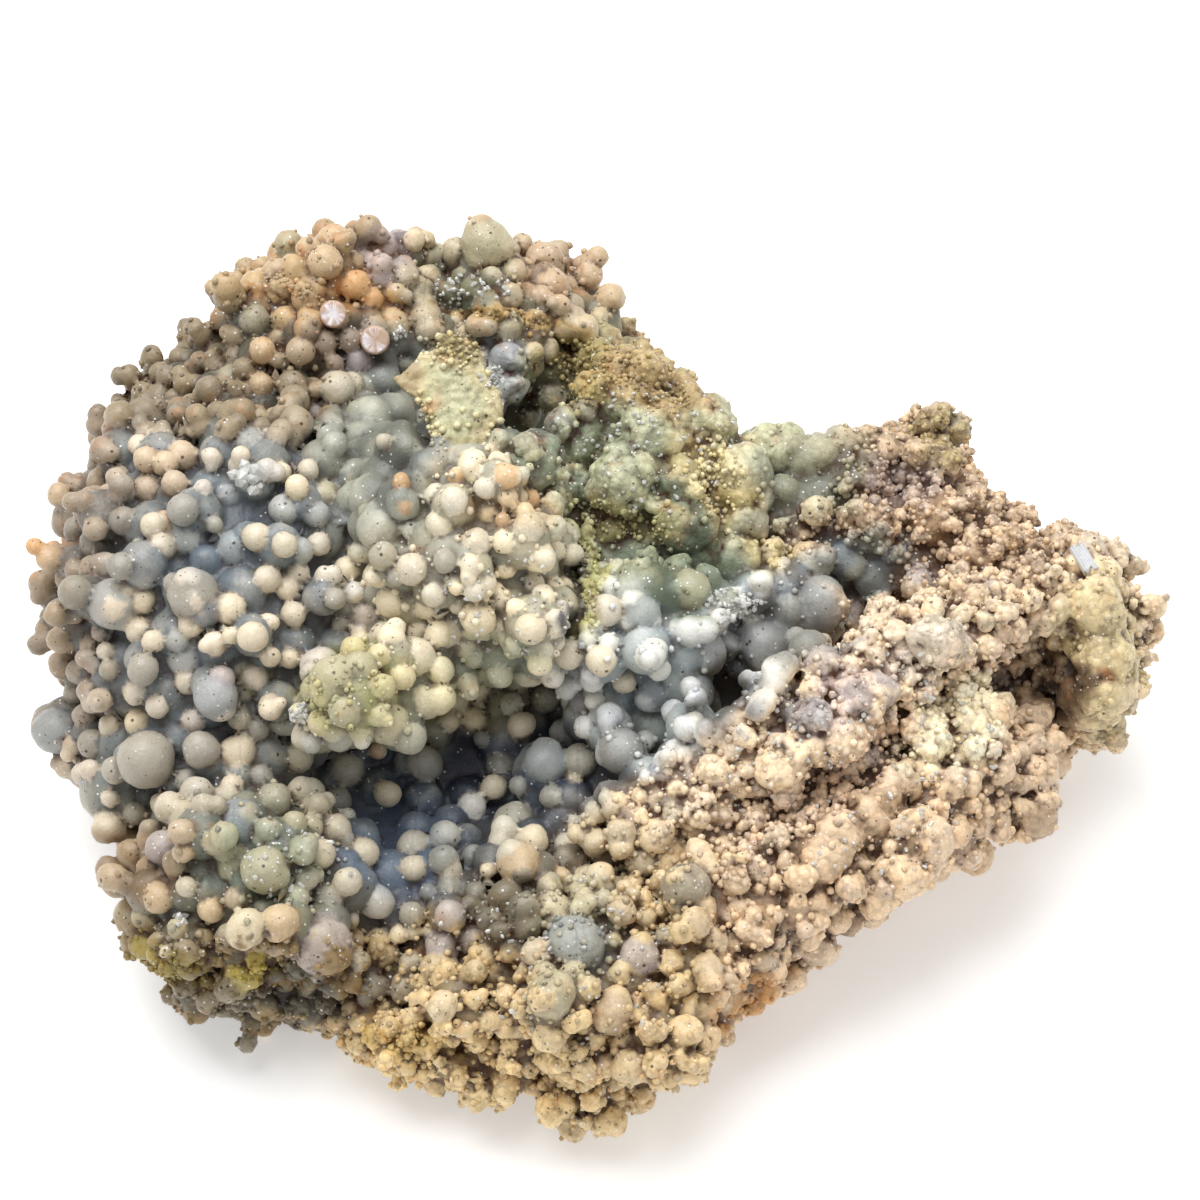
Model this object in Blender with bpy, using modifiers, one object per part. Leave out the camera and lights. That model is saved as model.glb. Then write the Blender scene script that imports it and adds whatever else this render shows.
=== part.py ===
"""Grape agate: a hand-sized specimen of botryoidal chalcedony, modelled as the one solid that it grew as.

The matrix is a heap of rounded masses and two long ridges, fused into one rock with a deep pit
between them. A broken flake of crust stands on its crest. Clusters of grapes cover the top and the
sides, large on the western dome and small on the eastern ridges. The rock is broken off flat
underneath, where it rests. Grapes too small for the facets of a solid are left to its looks.

X runs from west to east along the rock's length, Y from the near side to the far side, Z up.
The numbers in the tables are millimetres and degrees.
"""

import math
import random

import bmesh
import bpy
from mathutils import Euler, Matrix, Vector

MM = 0.001
NAME = "grape_agate"

# Driving dimensions: the smallest and the largest scattered cluster in the west and in the east,
# and the x where the western sizes end and the eastern ones begin
CLUSTER_RADIUS_WEST = (4.3, 6.2)
CLUSTER_RADIUS_EAST = (3.2, 4.6)
WEST_EDGE, EAST_EDGE = -5.0, 40.0
CLUSTER_SINK = 0.3
CLUSTER_GAP = 0.9
LOWEST_CLUSTER = 11.0
FLAKE_THICKNESS = 3.6
SEED = 27

# Working sizes of the skin
MATRIX_VOXEL = 1.6
SKIN_VOXEL = 1.0
MATRIX_SMOOTHING = 6
SKIN_SMOOTHING = 4
BASE_SNAP = 0.3
TRIANGLES = 9600

# Rounded masses of the matrix: centre, half-sizes, turn about Z
MASSES = {
    "west_dome": ((-63, 8, 36), (33, 36, 30), 0),
    "west_foot": ((-76, -24, 26), (15, 12, 13), 0),
    "south_west_lobe": ((-59, -50, 23), (22, 17, 20), -8),
    "south_west_toe": ((-60, -61, 14), (15, 8, 9), -8),
    "south_rim": ((-25, -74, 11), (20, 8, 8), -12),
    "south_slope": ((-1, -66, 18), (23, 17, 18), 0),
    "north_west_hump": ((-50, 55, 44), (22, 21, 24), 0),
    "north_west_shoulder": ((-72, 41, 38), (17, 17, 18), 0),
    "north_hump": ((-20, 61, 42), (19, 20, 22), 0),
    "north_east_shoulder": ((-3, 68, 40), (8, 10, 10), 0),
    "green_saddle": ((10, 24, 40), (23, 20, 24), 0),
    "saddle_east": ((36, 21, 36), (18, 16, 18), 0),
    "east_plateau": ((60, 15, 34), (24, 16, 18), -14),
    "east_knob": ((61, 33, 46), (6, 6, 7), 0),
    "east_end": ((85, 4, 32), (13, 13, 14), 0),
    "east_front": ((89, -8, 28), (8, 8, 10), 0),
    "centre_ridge": ((-23, 3, 54), (19, 23, 22), 0),
    "overhang_west": ((-38, -26, 50), (12, 8, 9), 20),
    "overhang_east": ((-15, -10, 52), (12, 12, 12), 0),
    "pit_floor": ((-30, -31, 12), (26, 18, 13), 0),
    "pit_west": ((-62, -33, 29), (12, 11, 12), 0),
    "pit_east": ((-5, -29, 23), (10, 9, 10), 0),
    "mid_blob": ((8, -9, 40), (15, 13, 18), 0),
    "mid_blob_east": ((29, 1, 38), (13, 11, 12), 0),
    "base_west": ((-42, 14, 12), (50, 58, 24), 0),
    "base_south": ((-20, -46, 10), (56, 26, 20), -2),
    "base_middle": ((4, -12, 10), (42, 46, 20), 0),
    "base_east": ((48, -8, 12), (46, 28, 22), 28),
}

# Long ridges of the matrix: stations along the crest, each a centre and a radius
RIDGES = {
    "middle_ridge": (
        (7, -41, 36, 8),
        (24, -34, 42, 9),
        (43, -23, 46, 10),
        (60, -12, 46, 9),
        (74, 1, 42, 8),
    ),
    "south_ridge": (
        (7, -70, 20, 12),
        (24, -55, 27, 13),
        (41, -45, 29, 13),
        (59, -33, 31, 12),
        (72, -24, 28, 9),
    ),
}

# Grapes and bosses large enough to be known by their place: centre and radius
LARGE_GRAPES = {
    "west_tip": (-96, -16, 26, 5.5),
    "west_ball": (-79, -28, 36, 6.4),
    "west_brow": (-85, -9, 52, 6.6),
    "dome_knob": (-67, -14, 58, 5.7),
    "dome_low": (-54, -24, 45, 5.3),
    "toe_left": (-58, -64, 36, 3.9),
    "toe_right": (-51, -63, 36, 3.5),
    "north_boss": (-22, 66, 62, 7.0),
    "north_lavender": (-39, 68, 59, 5.3),
    "north_east_ball": (-10, 65, 60, 4.6),
    "corner_ball": (-1, 73, 46, 4.2),
    "brow_top": (-48, 66, 64, 4.4),
    "shoulder_ball": (-74, 52, 54, 3.5),
    "blue_boss": (-16, 43, 52, 6.0),
    "hang_ball": (-8, 28, 58, 4.0),
    "saddle_ball": (37, 13, 53, 3.0),
    "east_ball": (53, 28, 49, 3.5),
    "east_round": (45, 10, 47, 5.0),
    "east_small": (57, 3, 45, 3.2),
    "finger_low": (69, -12, 54, 2.8),
    "finger_mid": (75, -7, 52, 2.8),
    "finger_high": (80, -2, 48, 2.8),
    "crest_ball": (-21, -19, 61, 3.4),
    "mid_left": (0, -18, 50, 4.4),
    "mid_right": (16, -20, 43, 3.6),
    "pit_ball": (4, -27, 33, 6.0),
    "slope_ball": (-12, -41, 25, 5.0),
    "south_ball": (14, -57, 36, 4.4),
    "south_low": (2, -76, 31, 4.4),
    "south_left": (-9, -75, 31, 4.0),
    "south_east_low": (43, -50, 41, 4.0),
    "south_east_high": (59, -38, 42, 4.6),
}

# Ground that no scattered cluster covers: the pit, the furrow between the ridges, the hole beside
# the crest and the crusted saddle, each in balls of centre and radius
BARE_GROUND = (
    (-38, -30, 24, 12),
    (-22, -30, 24, 12),
    (-30, -18, 24, 12),
    (-10, -12, 30, 8),
    (-4, 12, 36, 6),
    (24, -44, 36, 5),
    (36, -38, 38, 5),
    (48, -30, 38, 5),
    (60, -21, 37, 5),
    (71, -11, 36, 4),
)

# The broken flake: its outline in its own plane, its centre and its tilt about X
FLAKE_OUTLINE = (
    (-9.8, 5.1),
    (-7.0, 0.6),
    (-4.4, -1.0),
    (-2.9, -8.1),
    (0.3, -10.5),
    (3.7, -10.5),
    (6.8, -12.9),
    (9.5, -10.5),
    (6.3, -6.4),
    (9.2, -4.4),
    (9.5, 1.4),
    (6.1, 3.7),
    (6.1, 9.5),
    (1.0, 11.9),
    (-4.4, 9.5),
    (-5.4, 6.1),
)
FLAKE_CENTRE = (-25, 24, 67)
FLAKE_TILT = 30.0


def clear_scene():
    for obj in list(bpy.data.objects):
        bpy.data.objects.remove(obj)


def new_collection(name):
    collection = bpy.data.collections.new(name)
    bpy.context.scene.collection.children.link(collection)
    return collection


def select_only(objects):
    bpy.ops.object.select_all(action="DESELECT")
    for obj in objects:
        obj.select_set(True)
    bpy.context.view_layer.objects.active = objects[0]


def add_ball(centre, half_sizes, turn=Euler(), subdivisions=4):
    """A rounded lump from an icosphere, with its centre and half-sizes in millimetres."""
    bpy.ops.mesh.primitive_ico_sphere_add(
        subdivisions=subdivisions,
        radius=1.0,
        location=Vector(centre) * MM,
        rotation=turn,
        scale=Vector(half_sizes) * MM,
    )
    return bpy.context.object


def add_mass(centre, half_sizes, yaw):
    return add_ball(centre, half_sizes, Euler((0, 0, math.radians(yaw))))


def copy_ball(ball, centre, radius):
    """Another ball like a ball of unit radius, with a mesh of its own."""
    mesh = ball.data.copy()
    mesh.transform(Matrix.LocRotScale(Vector(centre) * MM, None, Vector((radius,) * 3)))
    copy = bpy.data.objects.new(ball.name, mesh)
    bpy.context.collection.objects.link(copy)
    return copy


def add_ridge(ball, stations):
    """A ridge from balls set close together between the stations of its crest."""
    balls = []
    steps = 4
    for (*start, first), (*end, last) in zip(stations, stations[1:]):
        for step in range(steps + 1):
            share = step / steps
            radius = first + (last - first) * share
            centre = Vector(start).lerp(Vector(end), share)
            balls.append(copy_ball(ball, centre, radius))
    return balls


def add_flake():
    """The broken flake of crust: a flat outline, half its thickness extruded to each side."""
    data = bpy.data.curves.new("flake", "CURVE")
    data.dimensions = "2D"
    data.fill_mode = "BOTH"
    data.extrude = FLAKE_THICKNESS / 2 * MM
    spline = data.splines.new("POLY")
    spline.points.add(len(FLAKE_OUTLINE) - 1)
    for point, (x, y) in zip(spline.points, FLAKE_OUTLINE):
        point.co = (x * MM, y * MM, 0, 1)
    spline.use_cyclic_u = True
    curve = bpy.data.objects.new("flake", data)
    bpy.context.collection.objects.link(curve)
    curve.location = Vector(FLAKE_CENTRE) * MM
    curve.rotation_euler = (math.radians(FLAKE_TILT), 0, 0)
    bpy.context.view_layer.update()
    return mesh_from(curve)


def mesh_from(curve):
    """The curve's own solid as a mesh object in its place, with its caps welded."""
    graph = bpy.context.evaluated_depsgraph_get()
    mesh = bpy.data.meshes.new_from_object(curve.evaluated_get(graph))
    solid = bpy.data.objects.new(curve.name, mesh)
    bpy.context.collection.objects.link(solid)
    solid.matrix_world = curve.matrix_world
    bpy.data.objects.remove(curve)
    edit = bmesh.new()
    edit.from_mesh(mesh)
    bmesh.ops.remove_doubles(edit, verts=edit.verts, dist=1e-6)
    bmesh.ops.recalc_face_normals(edit, faces=edit.faces)
    edit.to_mesh(mesh)
    edit.free()
    return solid


def join(objects, name):
    """One object from several, with their places in its mesh."""
    select_only(objects)
    bpy.ops.object.join()
    joined = bpy.context.object
    joined.name = name
    bpy.ops.object.transform_apply(location=True, rotation=True, scale=True)
    return joined


def apply_all(obj):
    select_only([obj])
    for modifier in list(obj.modifiers):
        bpy.ops.object.modifier_apply(modifier=modifier.name)


def fuse(obj, voxel, smooth_rounds):
    """Overlapping closed shapes become one skin, and its creases are eased."""
    remesh = obj.modifiers.new("fuse", "REMESH")
    remesh.mode = "VOXEL"
    remesh.voxel_size = voxel * MM
    if smooth_rounds:
        smooth = obj.modifiers.new("ease", "SMOOTH")
        smooth.factor = 0.5
        smooth.iterations = smooth_rounds
    apply_all(obj)
    keep_outer_skin(obj)


def keep_outer_skin(obj):
    """Deletes the skins of closed pockets, so that the rock is solid inside."""
    edit = bmesh.new()
    edit.from_mesh(obj.data)
    unseen = set(edit.verts)
    skins = []
    while unseen:
        front = [unseen.pop()]
        skin = list(front)
        while front:
            linked = {edge.other_vert(vert) for vert in front for edge in vert.link_edges}
            front = list(linked & unseen)
            unseen -= linked
            skin += front
        skins.append(skin)
    skins.sort(key=len)
    bmesh.ops.delete(edit, geom=[vert for skin in skins[:-1] for vert in skin], context="VERTS")
    edit.to_mesh(obj.data)
    edit.free()


def make_matrix(ball):
    """The bare rock under the grapes."""
    shapes = [add_mass(*mass) for mass in MASSES.values()]
    for stations in RIDGES.values():
        shapes += add_ridge(ball, stations)
    matrix = join(shapes, "matrix")
    fuse(matrix, MATRIX_VOXEL, MATRIX_SMOOTHING)
    return matrix


def cluster_radius(x, share):
    """Large clusters in the west, small ones in the east, and a slope of sizes between them."""
    east = min(1.0, max(0.0, (x - WEST_EDGE) / (EAST_EDGE - WEST_EDGE)))
    low, high = (
        west + (far - west) * east for west, far in zip(CLUSTER_RADIUS_WEST, CLUSTER_RADIUS_EAST)
    )
    return low + (high - low) * share


def scatter_clusters(matrix):
    """Clusters of grapes side by side over the top and the sides of the rock, each (centre, radius)."""
    chance = random.Random(SEED)
    faces = [face for face in matrix.data.polygons if face.normal.z > -0.45]
    faces = [face for face in faces if face.center.z > LOWEST_CLUSTER * MM]
    chance.shuffle(faces)
    placed = [(Vector(spot[:3]), spot[3]) for spot in LARGE_GRAPES.values()]
    bare_ground = [(Vector(spot[:3]), spot[3]) for spot in BARE_GROUND]
    cell = CLUSTER_RADIUS_WEST[1] + max(radius for _, radius in placed)
    cells = {}

    def cell_of(spot):
        return tuple(math.floor(value / cell) for value in spot)

    def nearby(spot):
        x, y, z = cell_of(spot)
        for i in (x - 1, x, x + 1):
            for j in (y - 1, y, y + 1):
                for k in (z - 1, z, z + 1):
                    yield from cells.get((i, j, k), ())

    for grape in placed:
        cells.setdefault(cell_of(grape[0]), []).append(grape)
    for face in faces:
        spot = face.center / MM
        radius = cluster_radius(spot.x, chance.random() ** 1.5)
        spot = spot - face.normal * radius * CLUSTER_SINK * chance.random()
        if any((spot - middle).length < bare for middle, bare in bare_ground):
            continue
        if any((spot - other).length < (radius + size) * CLUSTER_GAP for other, size in nearby(spot)):
            continue
        placed.append((spot, radius))
        cells.setdefault(cell_of(spot), []).append((spot, radius))
    return placed


def break_off_flat(rock):
    """Breaks the rock off flat at its foot and closes the break."""
    edit = bmesh.new()
    edit.from_mesh(rock.data)
    everything = edit.verts[:] + edit.edges[:] + edit.faces[:]
    bmesh.ops.bisect_plane(
        edit, geom=everything, plane_co=(0, 0, 0), plane_no=(0, 0, 1), clear_inner=True
    )
    rim = [edge for edge in edit.edges if edge.is_boundary]
    bmesh.ops.triangle_fill(edit, edges=rim, use_beauty=True, normal=(0, 0, -1))
    bmesh.ops.triangulate(edit, faces=edit.faces)
    bmesh.ops.recalc_face_normals(edit, faces=edit.faces)
    edit.to_mesh(rock.data)
    edit.free()


def thin_out(rock):
    """Brings the skin down to its number of triangles and keeps the break flat."""
    thin = rock.modifiers.new("thin", "DECIMATE")
    thin.ratio = TRIANGLES / len(rock.data.polygons)
    apply_all(rock)
    for vert in rock.data.vertices:
        if vert.co.z < BASE_SNAP * MM:
            vert.co.z = 0


def centre_on_base(rock):
    """Puts the middle of the rock's length and width over the origin."""
    for axis, shift in enumerate((Vector((1, 0, 0)), Vector((0, 1, 0)))):
        places = [vert.co[axis] for vert in rock.data.vertices]
        middle = (min(places) + max(places)) / 2
        rock.data.transform(Matrix.Translation(shift * -middle))


def agate_material():
    """Milky grey-blue chalcedony, tanned on the tips of the grapes."""
    material = bpy.data.materials.new("chalcedony")
    material.use_nodes = True
    shader = material.node_tree.nodes["Principled BSDF"]
    shader.inputs["Base Color"].default_value = (0.56, 0.53, 0.45, 1)
    shader.inputs["Roughness"].default_value = 0.42
    shader.inputs["Metallic"].default_value = 0.0
    return material


def make_grape_agate():
    ball = add_ball((0, 0, 0), (1, 1, 1), subdivisions=3)
    bpy.ops.object.transform_apply(scale=True)
    matrix = make_matrix(ball)
    balls = [copy_ball(ball, *cluster) for cluster in scatter_clusters(matrix)]
    bpy.data.objects.remove(ball)
    rock = join([matrix, add_flake(), *balls], NAME)
    fuse(rock, SKIN_VOXEL, SKIN_SMOOTHING)
    break_off_flat(rock)
    thin_out(rock)
    centre_on_base(rock)
    rock.data.materials.clear()
    rock.data.materials.append(agate_material())
    select_only([rock])
    bpy.ops.object.shade_smooth_by_angle(angle=math.radians(50))
    return rock


clear_scene()
specimen = new_collection("grape_agate_specimen")
agate = make_grape_agate()
for holder in list(agate.users_collection):
    holder.objects.unlink(agate)
specimen.objects.link(agate)
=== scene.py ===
"""Looks of the grape agate: the rock under the grapes, the grapes that grow on it, and its finishes.

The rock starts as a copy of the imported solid, drawn in a little under its skin, with broad bosses
on it. Grapes are set over it: the large ones by their place in the photo, the rest seeded in sizes
and stacks that follow the ground they grow on. Each slab of rock is fused with its own grapes into
one closed skin. Grains too small to fuse are set on that skin, and so are the flake of crust, the
broken grapes and the crystals. Every point then takes its tones from the ground it lies on.

Places that were read off the photo are its pixels, in its frame of 1200 by 1200. The camera stands
where the photo was taken from, so a pixel is a line of sight, and what is placed by it sits where
that line meets the rock.
"""

import math
import random
from collections import namedtuple

import bpy
import numpy as np
from mathutils import Matrix, Vector, noise
from mathutils.bvhtree import BVHTree


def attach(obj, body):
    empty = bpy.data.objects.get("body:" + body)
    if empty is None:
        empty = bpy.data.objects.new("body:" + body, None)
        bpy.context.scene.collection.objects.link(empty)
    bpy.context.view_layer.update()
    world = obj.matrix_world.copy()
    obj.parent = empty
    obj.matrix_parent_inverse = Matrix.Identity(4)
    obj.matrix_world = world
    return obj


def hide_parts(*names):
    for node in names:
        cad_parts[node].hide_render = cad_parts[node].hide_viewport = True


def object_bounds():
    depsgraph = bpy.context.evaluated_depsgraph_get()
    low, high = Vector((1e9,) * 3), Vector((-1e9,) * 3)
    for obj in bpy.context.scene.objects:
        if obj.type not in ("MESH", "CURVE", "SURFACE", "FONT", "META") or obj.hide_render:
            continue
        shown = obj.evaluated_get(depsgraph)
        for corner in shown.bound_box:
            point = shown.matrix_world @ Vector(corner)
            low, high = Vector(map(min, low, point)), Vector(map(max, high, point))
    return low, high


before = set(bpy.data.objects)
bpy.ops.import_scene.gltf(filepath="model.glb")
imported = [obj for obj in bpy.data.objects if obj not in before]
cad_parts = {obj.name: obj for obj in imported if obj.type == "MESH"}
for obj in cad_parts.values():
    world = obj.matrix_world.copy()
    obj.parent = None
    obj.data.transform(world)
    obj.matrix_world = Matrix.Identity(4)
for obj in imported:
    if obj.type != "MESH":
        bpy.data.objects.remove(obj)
cad_low, cad_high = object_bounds()

MM = 0.001
SEED = 11

# The photo's view: how far down it looks, its lens, and the point that it looks at
ELEVATION = math.radians(52)
LENS, SENSOR = 90.0, 36.0
PHOTO_SIZE = 1200
PIXEL = 0.177 * MM
TARGET = Vector((0.7, -9.5, 30)) * MM
TARGET_PIXEL = (600, 690)
DISTANCE = PHOTO_SIZE * PIXEL * LENS / SENSOR
SIGHT = Vector((0, math.cos(ELEVATION), -math.sin(ELEVATION)))
UPWARD = Vector((0, math.sin(ELEVATION), math.cos(ELEVATION)))
EYE = TARGET - SIGHT * DISTANCE

# The skin of the rock
ROCK_VOXEL = 0.9 * MM
ROCK_SHRINK = 2.7 * MM
ROCK_EASING = 12
MERGE = 0.01 * MM
FOOT_HEIGHT, FOOT_STRETCH = 2 * ROCK_SHRINK, 1.2
SKIN_VOXEL = 0.6 * MM
SKIN_SHARE = 0.45
DENTS = 0.4 * MM
LOWEST_GRAPE = 3.0 * MM
REACH = 200 * MM
# A slab reaches this far into its neighbours, and there its skin sinks under theirs over a short run
MARGIN = 3.0 * MM
SINK, SINK_RUN = 0.45 * MM, 1.0 * MM
# The relief of the rough grounds: grains packed side by side, and the broader crumble under them
PACKED_SIZE, PACKED_HEIGHT = 1.7 * MM, 1.0 * MM
CRUMBLE_SIZE, CRUMBLE_HEIGHT = 3.4 * MM, 1.6 * MM
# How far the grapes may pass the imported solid's box
OUTSIDE = 1.2 * MM
# How many times the skin is eased to find what stands out of it, and how high and deep counts in full
RELIEF_ROUNDS = 14
RELIEF_HEIGHT = 0.9 * MM
CREASE_DEPTH = 0.25 * MM

# Round swells of the bare rock: their radii in millimetres, the gap between them in radii, and how
# deep their middles lie in it, in radii
Swell = namedtuple("Swell", "radii gap depth")
SWELLS = {"bosses": Swell((4.0, 6.5), 1.05, 0.55), "roots": Swell((3.0, 4.8), 0.9, 0.15)}

# Slabs of the rock from west to east: the x where each begins, in millimetres
SLABS = {
    "dome_grapes": None,
    "hump_grapes": -60,
    "crest_grapes": -31,
    "middle_grapes": -3,
    "ridge_grapes": 33,
}

# Ground: its middle and reach in the photo's pixels, its turn in degrees, the radii of its grapes
# in millimetres, how many stack up on one spot, the gap between them in radii, how far they lift off
# the rock in radii, how often a grape has a bud, and how much of it bosses swell, round roots of the
# grapes swell, and grains cover
Ground = namedtuple("Ground", "middle reach turn radii stack gap lift buds bosses roots grains")
GROUNDS = {
    "dome_edge": Ground((65, 560), (60, 170), 0, (1.9, 2.8), (1, 2), 1.05, 0.1, 0.6, 0.3, 0.9, 0.0),
    "dome": Ground((190, 640), (110, 190), 0, (1.8, 2.8), (1, 2), 1.25, 0.05, 0.7, 0.2, 1.0, 0.0),
    "dome_blue": Ground((235, 545), (60, 60), 0, (2.0, 2.8), (1, 2), 1.5, 0.0, 0.5, 0.2, 1.0, 0.0),
    "shoulder": Ground((215, 375), (110, 55), 0, (2.0, 3.2), (1, 2), 0.86, 0.2, 0.6, 0.5, 0.5, 0.02),
    "hump_west": Ground((310, 285), (75, 60), 0, (2.2, 3.9), (1, 2), 0.84, -0.1, 0.5, 0.7, 0.4, 0.03),
    "hump_east": Ground((510, 275), (100, 60), 0, (2.2, 4.0), (1, 1), 0.86, -0.2, 0.4, 0.8, 0.5, 0.02),
    "column": Ground((380, 440), (45, 85), 0, (2.2, 3.4), (1, 1), 1.4, -0.3, 0.3, 0.6, 0.8, 0.0),
    "crest": Ground((475, 590), (90, 100), 0, (1.9, 3.4), (1, 1), 0.95, -0.15, 0.4, 0.9, 0.8, 0.02),
    "overhang": Ground((395, 700), (90, 45), 0, (2.0, 3.8), (1, 1), 0.9, -0.05, 0.5, 0.9, 0.6, 0.03),
    "pit": Ground((440, 790), (120, 75), 0, (2.0, 2.7), (1, 2), 1.8, 0.3, 0.2, 0.3, 0.8, 0.0),
    "pit_floor": Ground((398, 852), (52, 58), 0, (2.0, 2.7), (1, 1), 2.1, 0.4, 0.1, 0.2, 0.9, 0.0),
    "pit_side": Ground((470, 870), (150, 45), 0, (2.0, 3.0), (1, 2), 1.1, 0.2, 0.4, 0.3, 0.9, 0.0),
    "south_west": Ground((230, 850), (110, 80), 0, (2.2, 3.8), (1, 2), 0.95, 0.0, 0.5, 0.6, 0.8, 0.02),
    "toe": Ground((220, 985), (120, 55), 0, (1.6, 3.2), (1, 1), 0.9, 0.1, 0.5, 0.5, 0.2, 0.12),
    "rim": Ground((430, 1065), (130, 45), 0, (1.5, 2.9), (1, 1), 0.88, 0.0, 0.5, 0.4, 0.0, 0.15),
    "slope": Ground((565, 955), (140, 110), 0, (1.7, 3.4), (1, 2), 0.9, 0.15, 0.8, 0.6, 0.4, 0.1),
    "middle": Ground((690, 650), (110, 75), 0, (2.0, 3.6), (1, 2), 1.15, 0.0, 0.5, 0.5, 0.9, 0.02),
    "saddle": Ground((680, 450), (125, 105), 0, (1.6, 3.0), (1, 1), 1.7, -0.3, 0.3, 1.0, 0.0, 0.04),
    "sheet": Ground((800, 478), (50, 44), 0, (2.6, 4.6), (1, 1), 1.3, -0.45, 0.2, 0.7, 0.1, 0.02),
    "blue_end": Ground((852, 562), (44, 26), 0, (2.2, 3.8), (1, 2), 1.0, -0.2, 0.5, 0.4, 0.6, 0.03),
    "plateau": Ground((930, 510), (150, 70), 0, (1.3, 3.0), (1, 1), 1.1, -0.1, 0.5, 0.5, 0.0, 0.4),
    "north_ridge": Ground((830, 705), (190, 45), 38, (1.6, 4.0), (1, 1), 0.85, -0.25, 0.5, 0.6, 0.2, 0.15),
    "furrow": Ground((870, 765), (140, 22), 38, (1.1, 1.9), (1, 1), 1.0, 0.1, 0.4, 0.2, 0.0, 0.5),
    "south_ridge": Ground((880, 855), (210, 60), 38, (1.6, 4.2), (1, 1), 0.85, -0.25, 0.4, 0.7, 0.2, 0.08),
    "east_end": Ground((1110, 620), (60, 100), 0, (1.5, 3.8), (1, 1), 0.85, -0.25, 0.4, 0.7, 0.2, 0.12),
}
# Grains of the sandy grounds and crumbs of crust: their radii in millimetres, and the gap between
# them and how far they lift off the skin, in radii
Grit = namedtuple("Grit", "radii gap lift")
GRAINS = Grit((0.4, 0.9), 0.9, (-0.1, 0.4))
CRUMBS = Grit((0.3, 0.75), 0.75, (0.0, 0.8))
SANDY_SEATS, SANDY_SHARE = 40000, 0.75
GRAIN_DENTS = 0.5 * MM
# Sizes between two radii lean to the small end by this power
SMALL_LEAN = 1.6
# Textures that dent the skins, the grains and the flake: the sizes of their clouds
CLOUD_SIZES = {"dents": 4 * MM, "roughness": 0.7 * MM, "bend": 16 * MM, "crumble": 1.4 * MM}
# Nothing grows on skin that faces further down than this
STEEPEST = -0.75

# Crumbly crust on the ground: its middle and reach in pixels, its turn, and how much of it crumbs cover
Crust = namedtuple("Crust", "middle reach turn cover")
CRUSTS = {
    "saddle_band": Crust((622, 520), (62, 18), -18, 0.9),
    "saddle_ochre": Crust((716, 478), (34, 48), 10, 0.6),
    "strand": Crust((590, 585), (9, 56), 0, 0.9),
    "crumb_olive": Crust((585, 372), (38, 44), 0, 0.5),
    "crust_line": Crust((500, 314), (68, 6), -10, 1.0),
    "crust_lump": Crust((345, 688), (44, 42), 0, 0.25),
    "corner": Crust((650, 385), (46, 30), -35, 0.5),
    "toe_yellow": Crust((165, 965), (28, 24), 0, 0.4),
    "toe_lime": Crust((255, 972), (30, 12), 0, 0.5),
    "rim_ochre": Crust((405, 1042), (46, 18), -15, 0.6),
    "hump_line": Crust((300, 290), (46, 8), -35, 0.7),
    "flake_top": Crust((452, 350), (34, 20), 0, 0.8),
    "flake_edge": Crust((432, 425), (9, 44), 20, 0.5),
}

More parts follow.
